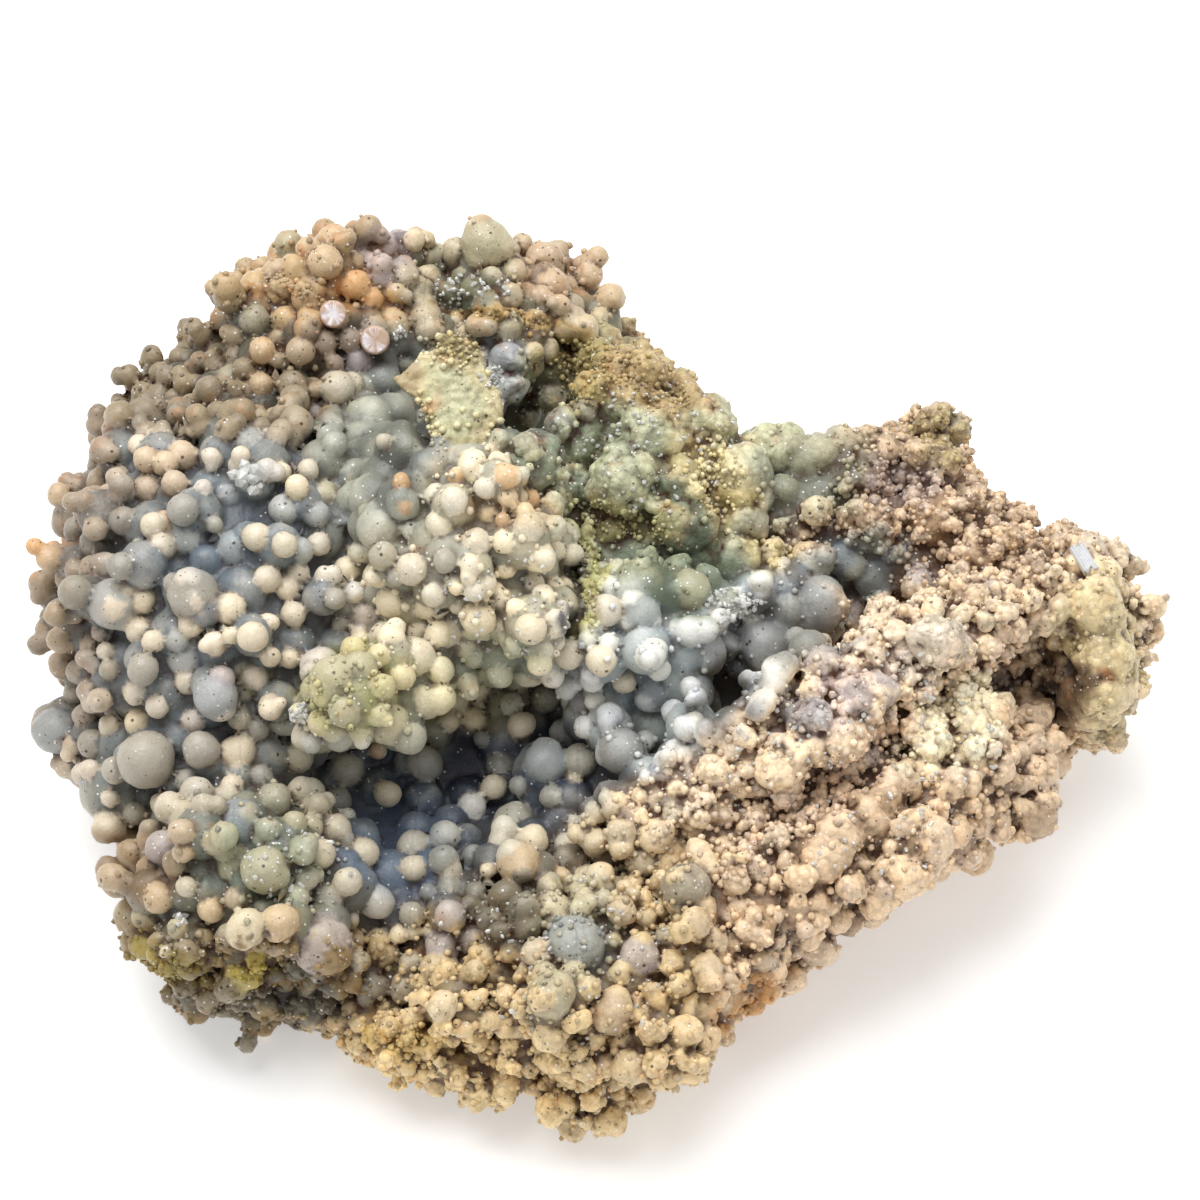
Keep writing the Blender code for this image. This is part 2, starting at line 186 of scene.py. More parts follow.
# Large grapes that the photo shows, by their tone: pixel x, pixel y and radius in pixels
LARGE_GRAPES = {
    "grey": (
        (146, 760, 28), (76, 529, 13), (95, 544, 16), (76, 592, 17), (121, 566, 13),
        (118, 479, 13), (123, 520, 14), (183, 510, 16), (193, 594, 25), (143, 670, 16), (109, 670, 10),
        (75, 693, 12), (85, 716, 12), (201, 750, 18), (188, 780, 13), (331, 742, 11), (346, 770, 18),
        (151, 817, 11), (134, 813, 12), (170, 816, 10), (330, 898, 14), (425, 763, 18), (448, 884, 11),
        (605, 879, 15), (687, 888, 23), (667, 937, 12), (505, 893, 11), (249, 1044, 11), (530, 416, 11),
        (560, 425, 17), (551, 397, 16), (586, 411, 13), (445, 561, 12), (383, 556, 14), (564, 732, 15),
        (411, 914, 12), (597, 812, 16), (545, 700, 14), (366, 1000, 11), (481, 739, 8), (580, 760, 17),
        (622, 751, 22), (499, 766, 14), (514, 823, 20), (519, 786, 10), (551, 796, 11), (338, 802, 14),
        (444, 860, 15), (473, 857, 12), (477, 892, 11), (428, 892, 9), (373, 986, 16), (404, 988, 14),
        (316, 1014, 16), (411, 962, 11), (175, 584, 11), (244, 690, 12), (335, 599, 11), (341, 624, 9),
        (258, 727, 12), (239, 718, 12), (93, 744, 15), (115, 770, 14), (261, 777, 12), (214, 525, 9),
        (450, 888, 13), (396, 577, 9),
    ),
    "blue": (
        # The great ball at (57, 731) is toned blue to darken it: painted shade.
        (57, 731, 23), (114, 604, 25), (188, 655, 22), (216, 696, 22), (250, 444, 17), (188, 538, 18),
        (234, 548, 18),
        (229, 497, 14), (285, 510, 16), (316, 515, 14), (300, 551, 13), (285, 721, 15), (545, 762, 21),
        (847, 557, 22), (893, 551, 14), (508, 360, 20), (508, 388, 18), (797, 717, 16), (178, 640, 12),
        (239, 825, 25), (575, 945, 28), (640, 612, 20), (655, 690, 22), (770, 640, 24), (742, 655, 22),
    ),
    "cream": (
        (137, 722, 13), (142, 600, 13), (127, 591, 9), (140, 630, 14), (153, 641, 11), (256, 537, 14),
        (285, 545, 13), (319, 544, 12), (288, 588, 12), (298, 573, 12), (267, 579, 14), (294, 614, 13),
        (270, 656, 10), (290, 658, 11), (252, 637, 15), (388, 794, 13), (345, 838, 8), (494, 787, 13),
        (336, 828, 14), (321, 853, 14), (364, 853, 15), (347, 882, 14), (413, 846, 16), (413, 868, 12),
        (478, 619, 17), (412, 569, 16), (531, 630, 15), (517, 684, 12), (522, 725, 14), (450, 721, 11),
        (473, 719, 13), (429, 694, 9), (569, 654, 15), (601, 661, 15), (624, 682, 12), (384, 441, 8),
        (816, 511, 16), (774, 554, 14), (961, 615, 11), (987, 619, 12), (246, 929, 19), (960, 722, 28),
        (996, 722, 14), (783, 751, 15), (645, 859, 18), (538, 953, 15), (533, 840, 15), (674, 811, 12),
        (237, 753, 18), (1016, 669, 10), (187, 886, 10), (165, 951, 7), (317, 976, 8), (357, 961, 11),
        (443, 1006, 14), (281, 473, 11), (297, 487, 12), (308, 470, 11), (229, 609, 16), (188, 681, 13),
        (606, 610, 16), (1054, 569, 8), (414, 240, 12), (337, 388, 18), (350, 384, 13), (779, 838, 13),
        (192, 624, 13), (105, 651, 9), (232, 636, 9), (162, 547, 14), (153, 525, 13), (399, 934, 10),
        (938, 640, 25),
        (411, 931, 9), (431, 932, 8), (450, 870, 12), (487, 871, 8), (575, 778, 8), (109, 726, 10),
    ),
    "tan": (
        (49, 558, 13), (54, 581, 12), (58, 494, 12), (149, 488, 15), (145, 459, 13), (174, 483, 14),
        (165, 464, 13), (183, 455, 15), (261, 384, 13), (256, 416, 12), (263, 351, 14), (300, 351, 15),
        (159, 898, 15), (112, 877, 14), (130, 842, 15), (181, 832, 13), (184, 852, 11), (280, 922, 18),
        (212, 909, 13),
        (237, 899, 12), (278, 276, 18), (335, 244, 20), (325, 262, 18), (308, 250, 14), (544, 261, 20),
        (598, 257, 11), (589, 276, 16), (610, 297, 16), (626, 326, 10), (522, 243, 12), (622, 911, 14),
        (611, 1011, 21), (518, 863, 20), (605, 1063, 13), (535, 1084, 11), (560, 878, 11), (784, 862, 10),
        (827, 870, 12), (793, 804, 10), (721, 846, 11), (764, 958, 13), (917, 453, 14), (942, 415, 13),
        (165, 525, 14), (707, 408, 9), (692, 388, 8), (640, 345, 12), (471, 1041, 9), (354, 939, 11),
        (350, 1007, 8), (276, 943, 14), (1055, 640, 12), (735, 880, 14), (705, 905, 11), (650, 905, 10),
    ),
    "orange": (
        (35, 547, 9), (457, 477, 9), (507, 472, 12), (503, 520, 8), (405, 507, 8), (378, 751, 8),
        (402, 482, 9), (530, 499, 9), (355, 285, 16), (370, 300, 14),
    ),
    "lavender": (
        (382, 254, 23), (367, 614, 18), (357, 360, 15), (905, 474, 18), (919, 581, 17), (855, 612, 18),
        (820, 632, 17), (825, 667, 20), (583, 701, 14), (1003, 678, 14), (316, 414, 15),
        (640, 957, 20), (450, 915, 15), (470, 940, 14), (222, 679, 13), (161, 847, 16), (442, 948, 18),
        (321, 943, 28), (855, 705, 22), (880, 690, 18), (865, 755, 14), (815, 720, 20), (990, 590, 12),
    ),
    "green": (
        (486, 244, 26), (323, 497, 17), (359, 494, 16), (369, 513, 11), (507, 329, 18), (530, 449, 14),
        (389, 724, 20), (410, 738, 16), (280, 311, 14), (239, 347, 15), (274, 800, 17), (235, 864, 18),
        (265, 870, 22), (295, 823, 12), (336, 680, 24), (320, 690, 18), (359, 670, 18), (345, 712, 16),
        (431, 259, 18), (298, 757, 16), (254, 676, 20), (955, 429, 17), (551, 996, 22), (360, 411, 13),
        (288, 244, 15), (640, 470, 22), (690, 590, 20), (255, 320, 16), (230, 380, 16),
    ),
    "white": (
        (354, 592, 11), (734, 597, 10), (720, 618, 10), (751, 618, 9), (826, 567, 7), (820, 575, 6),
        (823, 588, 8), (472, 807, 14), (497, 375, 12), (299, 713, 9), (503, 250, 12), (609, 643, 10),
    ),
}

# From this radius in pixels on a grape has lobes, apart from the one great round ball. Their radii
# and how far out their middles lie, in radii of the grape
LOBED_FROM, ROUND_BALL = 20, (146, 760)
LOBES, LOBE_RADII, LOBE_REACH = 3, (0.6, 0.75), 0.5

# How far the middle of a large grape stands in front of the rock, in radii
STANDS_PROUD = {
    "grey": 0.3, "blue": -0.3, "cream": 0.5, "tan": 0.2, "orange": 0.4, "lavender": 0.0, "green": -0.2,
    "white": 0.5,
}

# Runs of grapes that grew into one another: the pixels of their ends, the radii there in pixels, and
# how far their middles stand in front of the rock, in radii
Run = namedtuple("Run", "start end first last proud")
RUNS = {
    "finger": Run((308, 286), (306, 330), 13, 14, 0.4),
    "tan_column": Run((297, 372), (286, 440), 15, 17, 0.3),
    "curtain_west": Run((366, 400), (360, 500), 26, 22, -0.3),
    "curtain_middle": Run((385, 405), (388, 520), 24, 26, -0.3),
    "curtain_east": Run((412, 420), (408, 500), 24, 20, -0.4),
    "upright": Run((334, 424), (335, 444), 13, 12, 0.4),
    "brow": Run((395, 265), (430, 330), 18, 16, 0.2),
    "drip": Run((608, 712), (607, 742), 12, 2.5, 0.4),
    "strand_top": Run((588, 520), (588, 585), 7, 5, 0.4),
    "strand_low": Run((588, 585), (592, 640), 5, 9, 0.4),
    "seed": Run((390, 950), (380, 969), 8, 4, 0.6),
    "hanging_seed": Run((492, 1042), (488, 1060), 8, 6, 0.6),
    "cream_finger": Run((1018, 628), (1086, 602), 13, 12, 0.4),
    "green_lobe": Run((1098, 610), (1095, 680), 26, 30, 0.1),
    "low_lobe": Run((1092, 690), (1093, 735), 30, 20, 0.1),
    "lobe_edge": Run((1120, 660), (1108, 735), 14, 12, 0.3),
    "sheet_top": Run((572, 470), (660, 505), 8, 10, 0.2),
    "saddle_back": Run((615, 470), (700, 415), 30, 34, -0.5),
    "saddle_front": Run((640, 540), (730, 560), 26, 30, -0.5),
    "saddle_step": Run((735, 470), (745, 530), 28, 24, -0.5),
    "blue_swell": Run((760, 650), (815, 605), 28, 24, -0.4),
    "ridge_top": Run((780, 770), (880, 690), 22, 20, -0.2),
    "cream_ridge": Run((925, 745), (1000, 705), 26, 22, 0.5),
    "corner_body": Run((582, 352), (640, 374), 24, 22, -0.2),
    "corner_low": Run((600, 396), (655, 404), 22, 20, -0.2),
    "corner_ledge": Run((630, 350), (688, 388), 16, 13, 0.0),
    "corner_foot": Run((684, 392), (718, 428), 14, 12, 0.0),
    "low_ridge": Run((820, 860), (900, 790), 24, 22, -0.2),
    "back_edge": Run((768, 452), (892, 452), 22, 22, -0.1),
    "north_east_edge": Run((1052, 536), (1142, 566), 16, 14, 0.0),
}

# How far apart the grapes of a run are, in radii, how their sizes spread, and how far they stray
RUN_STEP, RUN_SPREAD, RUN_STRAY = 0.7, (0.75, 1.15), 0.22

# Stacks of seeded grapes: how far they lean upwards, how far they stray, how their sizes spread, how
# far apart their grapes are, in radii, and the sizes of buds in radii of their grape
STACK_LEAN, STACK_STRAY = Vector((0, 0, 0.35)), 0.3
STACK_SPREAD, STACK_STEP, BUD_SPREAD = (0.85, 1.12), (0.55, 1.15), (0.6, 0.9)

# Tones as the photo shows them, red, green and blue out of 255: of what stands out, and of what lies deep
# The deep tones are darker partly as painted shade.
GRAPE_TONES = {
    # The grey is darkened towards the shaded side of the round ball: partly painted shade.
    "grey": ((147, 146, 136), (104, 107, 104)),
    "blue": ((152, 162, 166), (106, 120, 130)),
    "cream": ((226, 214, 186), (174, 164, 142)),
    "tan": ((210, 186, 152), (152, 128, 98)),
    "orange": ((214, 172, 124), (166, 118, 74)),
    "lavender": ((182, 174, 174), (134, 126, 130)),
    "green": ((174, 171, 146), (124, 128, 108)),
    "white": ((236, 236, 230), (190, 194, 194)),
}
# How far round a large grape its tone reaches, in radii, and how strong it is
TONE_REACH, TONE_SHARE = 1.1, 0.7

# Tones of dirt and of painted crease shade, of specks of ore, of rust, of glints, which are painted
# highlights, of the chip, and of the rim and rays of a broken grape
BROWN = (74, 46, 26)
SPECK_BROWN = (58, 36, 24)
RUST = (190, 116, 48)
GLINT = (246, 246, 240)
BROKEN_RIM = (208, 178, 152)
SPAR_GREY, SPAR_WHITE = (206, 210, 216), (238, 238, 236)
RAY_DARK, RAY_PALE = (234, 216, 220), (255, 253, 254)

# Looks of each ground: its tones as above, its dirt and painted crease shade, and how specked, rusty,
# sparkling and rough it is
Look = namedtuple("Look", "tip deep dirt specks rust sparkle rough")
LOOKS = {
    "dome_edge": Look((163, 147, 126), (113, 108, 99), 0.6, 0.6, 0.3, 0.1, 0.0),
    "dome": Look((225, 214, 196), (118, 126, 128), 0.5, 0.5, 0.1, 0.1, 0.0),
    "dome_blue": Look((190, 194, 190), (108, 120, 128), 0.3, 0.4, 0.0, 0.1, 0.0),
    "shoulder": Look((148, 134, 110), (86, 84, 72), 0.9, 0.7, 0.3, 0.2, 0.1),
    "hump_west": Look((190, 167, 131), (134, 110, 80), 1.0, 0.7, 0.45, 0.2, 0.1),
    "hump_east": Look((198, 184, 156), (130, 128, 110), 0.9, 0.7, 0.3, 0.3, 0.2),
    "column": Look((190, 192, 176), (126, 130, 124), 0.4, 0.2, 0.1, 0.3, 0.0),
    "crest": Look((240, 230, 202), (168, 166, 146), 0.6, 0.5, 0.2, 0.4, 0.1),
    "overhang": Look((220, 212, 174), (156, 154, 120), 0.6, 0.4, 0.2, 0.3, 0.1),
    "pit": Look((206, 206, 196), (64, 74, 88), 0.2, 0.2, 0.0, 0.1, 0.0),
    "pit_floor": Look((186, 190, 186), (86, 98, 112), 0.2, 0.2, 0.0, 0.2, 0.0),
    "pit_side": Look((202, 198, 184), (98, 100, 98), 0.5, 0.3, 0.0, 0.1, 0.0),
    "south_west": Look((180, 172, 146), (118, 122, 106), 0.7, 0.4, 0.1, 0.4, 0.1),
    "toe": Look((144, 123, 85), (98, 86, 58), 1.0, 0.6, 0.3, 0.4, 0.5),
    "rim": Look((244, 218, 164), (160, 134, 96), 1.0, 0.6, 0.4, 0.4, 0.6),
    "slope": Look((226, 202, 156), (142, 126, 96), 1.0, 0.6, 0.3, 0.3, 0.35),
    "middle": Look((242, 244, 240), (178, 188, 190), 0.4, 0.2, 0.1, 0.3, 0.0),
    "saddle": Look((206, 208, 174), (132, 144, 118), 0.8, 0.5, 0.3, 0.5, 0.8),
    "sheet": Look((190, 190, 166), (136, 144, 132), 0.5, 0.4, 0.2, 0.5, 0.25),
    "blue_end": Look((178, 180, 172), (118, 128, 130), 0.4, 0.3, 0.0, 0.2, 0.15),
    "plateau": Look((232, 206, 174), (150, 122, 94), 1.0, 0.6, 0.2, 0.5, 0.9),
    "north_ridge": Look((255, 234, 202), (210, 184, 156), 1.0, 0.4, 0.2, 0.5, 0.7),
    "furrow": Look((248, 220, 190), (156, 132, 110), 1.0, 0.3, 0.1, 0.3, 0.9),
    "south_ridge": Look((238, 212, 178), (188, 160, 128), 1.0, 0.4, 0.3, 0.5, 0.6),
    "east_end": Look((246, 226, 194), (206, 182, 148), 1.0, 0.4, 0.3, 0.5, 0.7),
}

# Stains and painted shade over the grounds: middle and reach in pixels, turn in degrees, tip tone, deep
# tone, strength
Overlay = namedtuple("Overlay", "middle reach turn tip deep strength")
STAINS_AND_SHADES = {
    "hump_orange": Overlay((352, 292), (32, 16), -20, (206, 160, 104), (158, 104, 56), 0.6),
    "hump_lavender": Overlay((384, 254), (28, 26), 0, (178, 166, 168), (140, 130, 132), 0.8),
    "hump_green": Overlay((485, 250), (40, 34), 0, (196, 188, 160), (138, 138, 118), 0.7),
    "hump_druse": Overlay((473, 288), (36, 20), -20, (112, 114, 92), (66, 72, 60), 0.9),
    "hump_peach": Overlay((560, 265), (50, 30), 0, (206, 176, 142), (160, 124, 90), 0.7),
    "crumb_olive": Overlay((585, 372), (38, 44), 0, (176, 160, 104), (110, 98, 58), 0.9),
    "corner_tan": Overlay((655, 380), (55, 45), -30, (196, 168, 118), (130, 104, 62), 0.8),
    # Painted shade in the hollow of the hump
    "hollow": Overlay((350, 352), (38, 26), 0, (150, 136, 124), (44, 38, 36), 0.8),
    "west_blue": Overlay((200, 545), (50, 45), 0, (160, 170, 174), (100, 116, 130), 0.5),
    "boss_blue": Overlay((508, 372), (26, 38), 0, (200, 202, 206), (148, 158, 164), 0.8),
    # Painted shade in the nook
    "nook": Overlay((525, 425), (30, 22), 0, (150, 150, 140), (40, 42, 44), 0.7),
    "curtain": Overlay((392, 455), (36, 54), 0, (112, 116, 106), (80, 86, 84), 0.8),
    "tan_column": Overlay((291, 408), (20, 44), 0, (186, 172, 145), (140, 128, 106), 0.8),
    "crest_green": Overlay((500, 660), (50, 26), 0, (176, 182, 152), (128, 142, 122), 0.7),
    "crest_rust": Overlay((520, 510), (50, 18), 10, (212, 178, 126), (156, 118, 74), 0.5),
    "crust_lump": Overlay((345, 688), (46, 44), 0, (196, 190, 142), (140, 142, 98), 0.9),
    "saddle_pale": Overlay((630, 450), (44, 46), 0, (194, 200, 172), (134, 146, 126), 0.7),
    "saddle_ochre": Overlay((716, 478), (36, 50), 10, (255, 240, 188), (194, 174, 114), 0.8),
    "saddle_band": Overlay((622, 520), (62, 18), -18, (218, 210, 156), (138, 132, 80), 0.8),
    "saddle_dark": Overlay((690, 574), (62, 38), 10, (120, 134, 110), (72, 86, 68), 0.9),
    "saddle_lump": Overlay((770, 558), (26, 24), 0, (214, 200, 144), (150, 134, 84), 0.8),
    "plateau_blue": Overlay((860, 560), (62, 30), 10, (170, 174, 164), (112, 120, 120), 0.8),
    "plateau_green": Overlay((830, 470), (55, 40), 0, (174, 174, 150), (124, 126, 108), 0.7),
    "plateau_lilac": Overlay((908, 478), (34, 24), 0, (182, 168, 170), (136, 122, 124), 0.6),
    "knob": Overlay((945, 430), (34, 34), 0, (186, 170, 118), (112, 98, 62), 0.8),
    # Painted shade: the slot is darkened almost to black
    "slot": Overlay((577, 605), (12, 50), 0, (70, 74, 76), (24, 26, 28), 0.9),
    "middle_blue": Overlay((680, 680), (70, 70), 0, (214, 220, 220), (160, 174, 180), 0.6),
    # Painted shade in the cavity
    "cavity": Overlay((722, 690), (30, 42), 0, (84, 76, 62), (26, 22, 18), 0.9),
    "blue_swell": Overlay((795, 628), (48, 40), 0, (150, 150, 142), (104, 108, 108), 0.9),
    # Painted shade at the bottom of the pit
    "pit_deep": Overlay((462, 764), (28, 32), 0, (70, 76, 98), (34, 40, 60), 0.9),
    "pit_floor": Overlay((395, 850), (62, 56), 0, (156, 168, 176), (98, 113, 132), 0.9),
    "ridge_lilac": Overlay((845, 700), (60, 26), 38, (232, 212, 204), (188, 170, 164), 0.7),
    "ridge_pale": Overlay((930, 645), (48, 30), 38, (255, 240, 216), (238, 212, 186), 0.9),
    "ridge_blue": Overlay((800, 715), (24, 22), 0, (188, 192, 190), (140, 148, 150), 0.6),
    "ridge_cream": Overlay((955, 725), (62, 34), 38, (255, 248, 218), (252, 234, 198), 1.0),
    "low_rust": Overlay((742, 1000), (44, 16), 32, (206, 150, 78), (146, 92, 42), 0.8),
    "slope_green": Overlay((580, 935), (52, 60), 0, (176, 182, 160), (116, 126, 112), 0.6),
    "slope_blue": Overlay((500, 905), (46, 42), 0, (100, 95, 80), (60, 58, 48), 0.85),
    "lobe_green": Overlay((1100, 660), (42, 85), 0, (222, 208, 162), (176, 164, 118), 0.8),
    "lobe_rust": Overlay((1103, 680), (16, 10), 0, (180, 120, 66), (140, 84, 40), 0.8),
    # Painted shade in the east hollow
    "east_hollow": Overlay((1062, 690), (22, 34), 0, (110, 86, 66), (40, 28, 22), 0.9),
    "west_orange": Overlay((42, 552), (24, 20), 0, (210, 160, 112), (160, 112, 72), 0.7),
    "south_peach": Overlay((130, 865), (48, 46), 0, (154, 128, 97), (108, 86, 62), 0.8),
    "toe_yellow": Overlay((165, 965), (30, 26), 0, (164, 150, 78), (96, 86, 40), 0.7),
    "toe_lime": Overlay((255, 972), (28, 14), 0, (200, 184, 90), (130, 114, 48), 0.8),
    "toe_grey": Overlay((225, 1000), (60, 24), 0, (144, 140, 120), (84, 86, 74), 0.7),
    "toe_dark": Overlay((300, 1000), (32, 26), 0, (96, 100, 92), (48, 52, 50), 0.8),
    "rim_ochre": Overlay((405, 1042), (44, 20), -15, (212, 184, 112), (140, 108, 54), 0.8),
    "south_green": Overlay((262, 866), (56, 40), 0, (164, 172, 150), (112, 126, 114), 0.8),
    "strand": Overlay((589, 578), (13, 62), 0, (206, 204, 140), (140, 136, 84), 0.9),
    "crust_line": Overlay((500, 314), (70, 8), -10, (182, 152, 92), (96, 72, 36), 0.8),
}
FLAKE_STAINS = {
    "body": Overlay((452, 402), (90, 110), 0, (242, 230, 188), (208, 196, 146), 1.0),
    "pale_green": Overlay((458, 412), (36, 38), 0, (226, 222, 184), (196, 198, 156), 0.8),
    "crumbly_top": Overlay((462, 346), (30, 18), 0, (196, 184, 134), (130, 114, 66), 0.8),
    "rust_spot": Overlay((430, 396), (10, 6), 0, (212, 156, 88), (176, 116, 58), 0.6),
    "west_tip": Overlay((404, 380), (16, 14), 0, (220, 200, 160), (170, 146, 104), 0.8),
}

# The loose flake of crust: its outline in pixels, and the plane that it lies in
FLAKE_OUTLINE = (
    (393, 373), (404, 388), (422, 400), (430, 418), (433, 437), (449, 459), (468, 456), (487, 472),
    (503, 459), (496, 448), (489, 440), (503, 421), (500, 394), (488, 382), (484, 366), (479, 346),
    (462, 340), (441, 333), (436, 351), (420, 351), (408, 366),
)
FLAKE_MIDDLE = Vector((-24.3, 24.0, 69)) * MM
FLAKE_WAY = Vector((0, -0.5, 0.866))
FLAKE_THICKNESS = 2.4 * MM
FLAKE_VOXEL = 0.5 * MM
FLAKE_BEND, FLAKE_CRUMBLE = 5 * MM, 1.2 * MM

# Nothing grows over the flake: the middle and reach in pixels of what is kept clear
FLAKE_CLEAR = ((452, 406), (52, 58))
# The skin is pressed down behind it: the reach of that in pixels, the share of it that slopes, and
# the lumps there
FLAKE_SHADE, FLAKE_SLOPE = (46, 56), 0.4
LUMP_SIZE, LUMP_HEIGHT = 2.2 * MM, 0.9 * MM
# Nothing that stands higher over the flake than this belongs to the skin behind it
PRESSED_HEIGHT = 12 * MM

# Hollows that no grape grows in: middle and reach in pixels
HOLLOWS = {
    "cavity": ((722, 692), (24, 32)),
    "slot": ((577, 590), (9, 34)),
    "pit_deep": ((464, 764), (20, 22)),
    "hump_hollow": ((350, 352), (14, 12)),
    "nook": ((527, 428), (16, 10)),
    "west_notch": ((86, 806), (22, 24)),
    "west_edge": ((36, 620), (13, 24)),
    "east_foot": ((1046, 834), (20, 20)),
}

# Grapes broken across, which show their inside: pixel x, pixel y and radius in pixels. How far they
# stand out, where they are cut and how wide their rim is, in radii
CUT_GRAPES = {"broken_grape_upper": (333, 314, 14), "broken_grape_lower": (375, 340, 15)}
BROKEN_PROUD, BROKEN_CUT, RIM_WIDTH = 0.15, 0.45, 0.12

# Beds of clear crystals: middle and reach in pixels, how many, and their radii in millimetres
Bed = namedtuple("Bed", "middle reach count radii")
CRYSTAL_BEDS = {
    "hump": Bed((473, 288), (38, 14), 32, (0.25, 0.5)),
    "white_knobs": Bed((735, 606), (30, 18), 70, (0.25, 0.5)),
    "west_point": Bed((299, 713), (9, 9), 18, (0.3, 0.5)),
    "pale_point": Bed((398, 333), (7, 7), 10, (0.3, 0.5)),
    "low_point": Bed((179, 921), (7, 7), 10, (0.3, 0.6)),
    "glassy_chip": Bed((250, 480), (14, 12), 12, (0.7, 1.3)),
    "blue_knob": Bed((492, 375), (12, 14), 24, (0.25, 0.45)),
    "crest_fleck": Bed((503, 610), (70, 60), 60, (0.2, 0.4)),
    "saddle_fleck": Bed((660, 450), (80, 70), 90, (0.2, 0.45)),
    "ridge_fleck": Bed((860, 760), (150, 120), 140, (0.2, 0.45)),
    "south_fleck": Bed((300, 870), (60, 40), 40, (0.2, 0.45)),
    "slope_fleck": Bed((560, 960), (130, 90), 60, (0.2, 0.45)),
}

# The white ribbed chip on the east end: the pixels of its ends, and its ribs' width and count
CHIP_START, CHIP_END = (1075, 545), (1092, 573)
CHIP_WIDTH, CHIP_DEPTH, CHIP_RIBS = 0.5 * MM, 1.6 * MM, 6

# Sizes of the patterns in the finish. The cells of specks come with their specks' share of them
BLOTCH_SIZE, PATCH_SIZE, SUGAR_SIZE = 4 * MM, 2.5 * MM, 0.45 * MM
SANDY_CELLS, GLINT_CELLS = 1.5 * MM, 0.6 * MM
SPECK_CELLS = ((2.0 * MM, 0.19), (1.0 * MM, 0.2))
BUMP_DEPTH = 0.2 * MM

# The studio: how bright its white surroundings and the floor's glow are, the soft box with its power
# in watts, its width and its place, and the floor's width and how far it lies under the base
WORLD_STRENGTH, FLOOR_GLOW = 0.52, 0.35
SOFT_BOX_POWER, SOFT_BOX_WIDTH, SOFT_BOX_PLACE = 7.4, 0.7, (-0.12, 0.16, 0.8)
FLOOR_WIDTH, FLOOR_DROP = 6, 0.1 * MM

Grape = namedtuple("Grape", "spot radius rise tint")


def sight_through(pixel):
    """The direction from the camera through a pixel of the photo."""
    across = (pixel[0] - TARGET_PIXEL[0]) / PHOTO_SIZE * SENSOR / LENS
    upward = (TARGET_PIXEL[1] - pixel[1]) / PHOTO_SIZE * SENSOR / LENS
    return (SIGHT + Vector((across, 0, 0)) + UPWARD * upward).normalized()


def pixels_of(spots):
    """The photo's pixels where an array of places shows."""
    rays = spots - np.array(EYE)
    depth = rays @ np.array(SIGHT)
    scale = LENS / SENSOR * PHOTO_SIZE / depth
    across = TARGET_PIXEL[0] + rays[:, 0] * scale
    down = TARGET_PIXEL[1] - (rays @ np.array(UPWARD)) * scale
    return np.stack([across, down], axis=1)


def deselect():
    bpy.ops.object.select_all(action="DESELECT")


def select_only(*objects):
    deselect()
    for obj in objects:
        obj.select_set(True)
    bpy.context.view_layer.objects.active = objects[0]


def apply_all(obj):
    select_only(obj)
    for modifier in list(obj.modifiers):
        bpy.ops.object.modifier_apply(modifier=modifier.name)


def join(name, *objects):
    select_only(*objects)
    bpy.ops.object.join()
    joined = bpy.context.object
    joined.name = name
    joined.data.name = name
    bpy.ops.object.transform_apply(location=True, rotation=True, scale=True)
    return joined


def copy_of(obj, name):
    """Another object with its own copy of the mesh."""
    copy = bpy.data.objects.new(name, obj.data.copy())
    bpy.context.scene.collection.objects.link(copy)
    return copy


def voxel_skin(obj, voxel):
    """Fuses the overlapping shapes of an object into one closed skin and keeps its attributes."""
    select_only(obj)
    obj.data.remesh_voxel_size = voxel
    obj.data.use_remesh_preserve_attributes = True
    bpy.ops.object.voxel_remesh()


def vectors_of(items, field):
    """An array of one vector for each item of a mesh."""
    values = np.empty(len(items) * 3, np.float32)
    items.foreach_get(field, values)
    return values.reshape(-1, 3)


def keep_between(obj, low, high):
    """Cuts a closed solid off square at two planes across X."""
    low = -REACH if low is None else low
    high = REACH if high is None else high
    middle = ((low + high) / 2, 0, 0)
    bpy.ops.mesh.primitive_cube_add(size=1, location=middle, scale=(high - low, 2 * REACH, 2 * REACH))
    box = bpy.context.object
    cut = obj.modifiers.new("cut", "BOOLEAN")
    cut.operation = "INTERSECT"
    cut.solver = "MANIFOLD"
    cut.object = box
    apply_all(obj)
    bpy.data.objects.remove(box)


def make_ball(name, subdivisions):
    bpy.ops.mesh.primitive_ico_sphere_add(subdivisions=subdivisions, radius=1.0)
    ball = bpy.context.object
    ball.name = name
    return ball


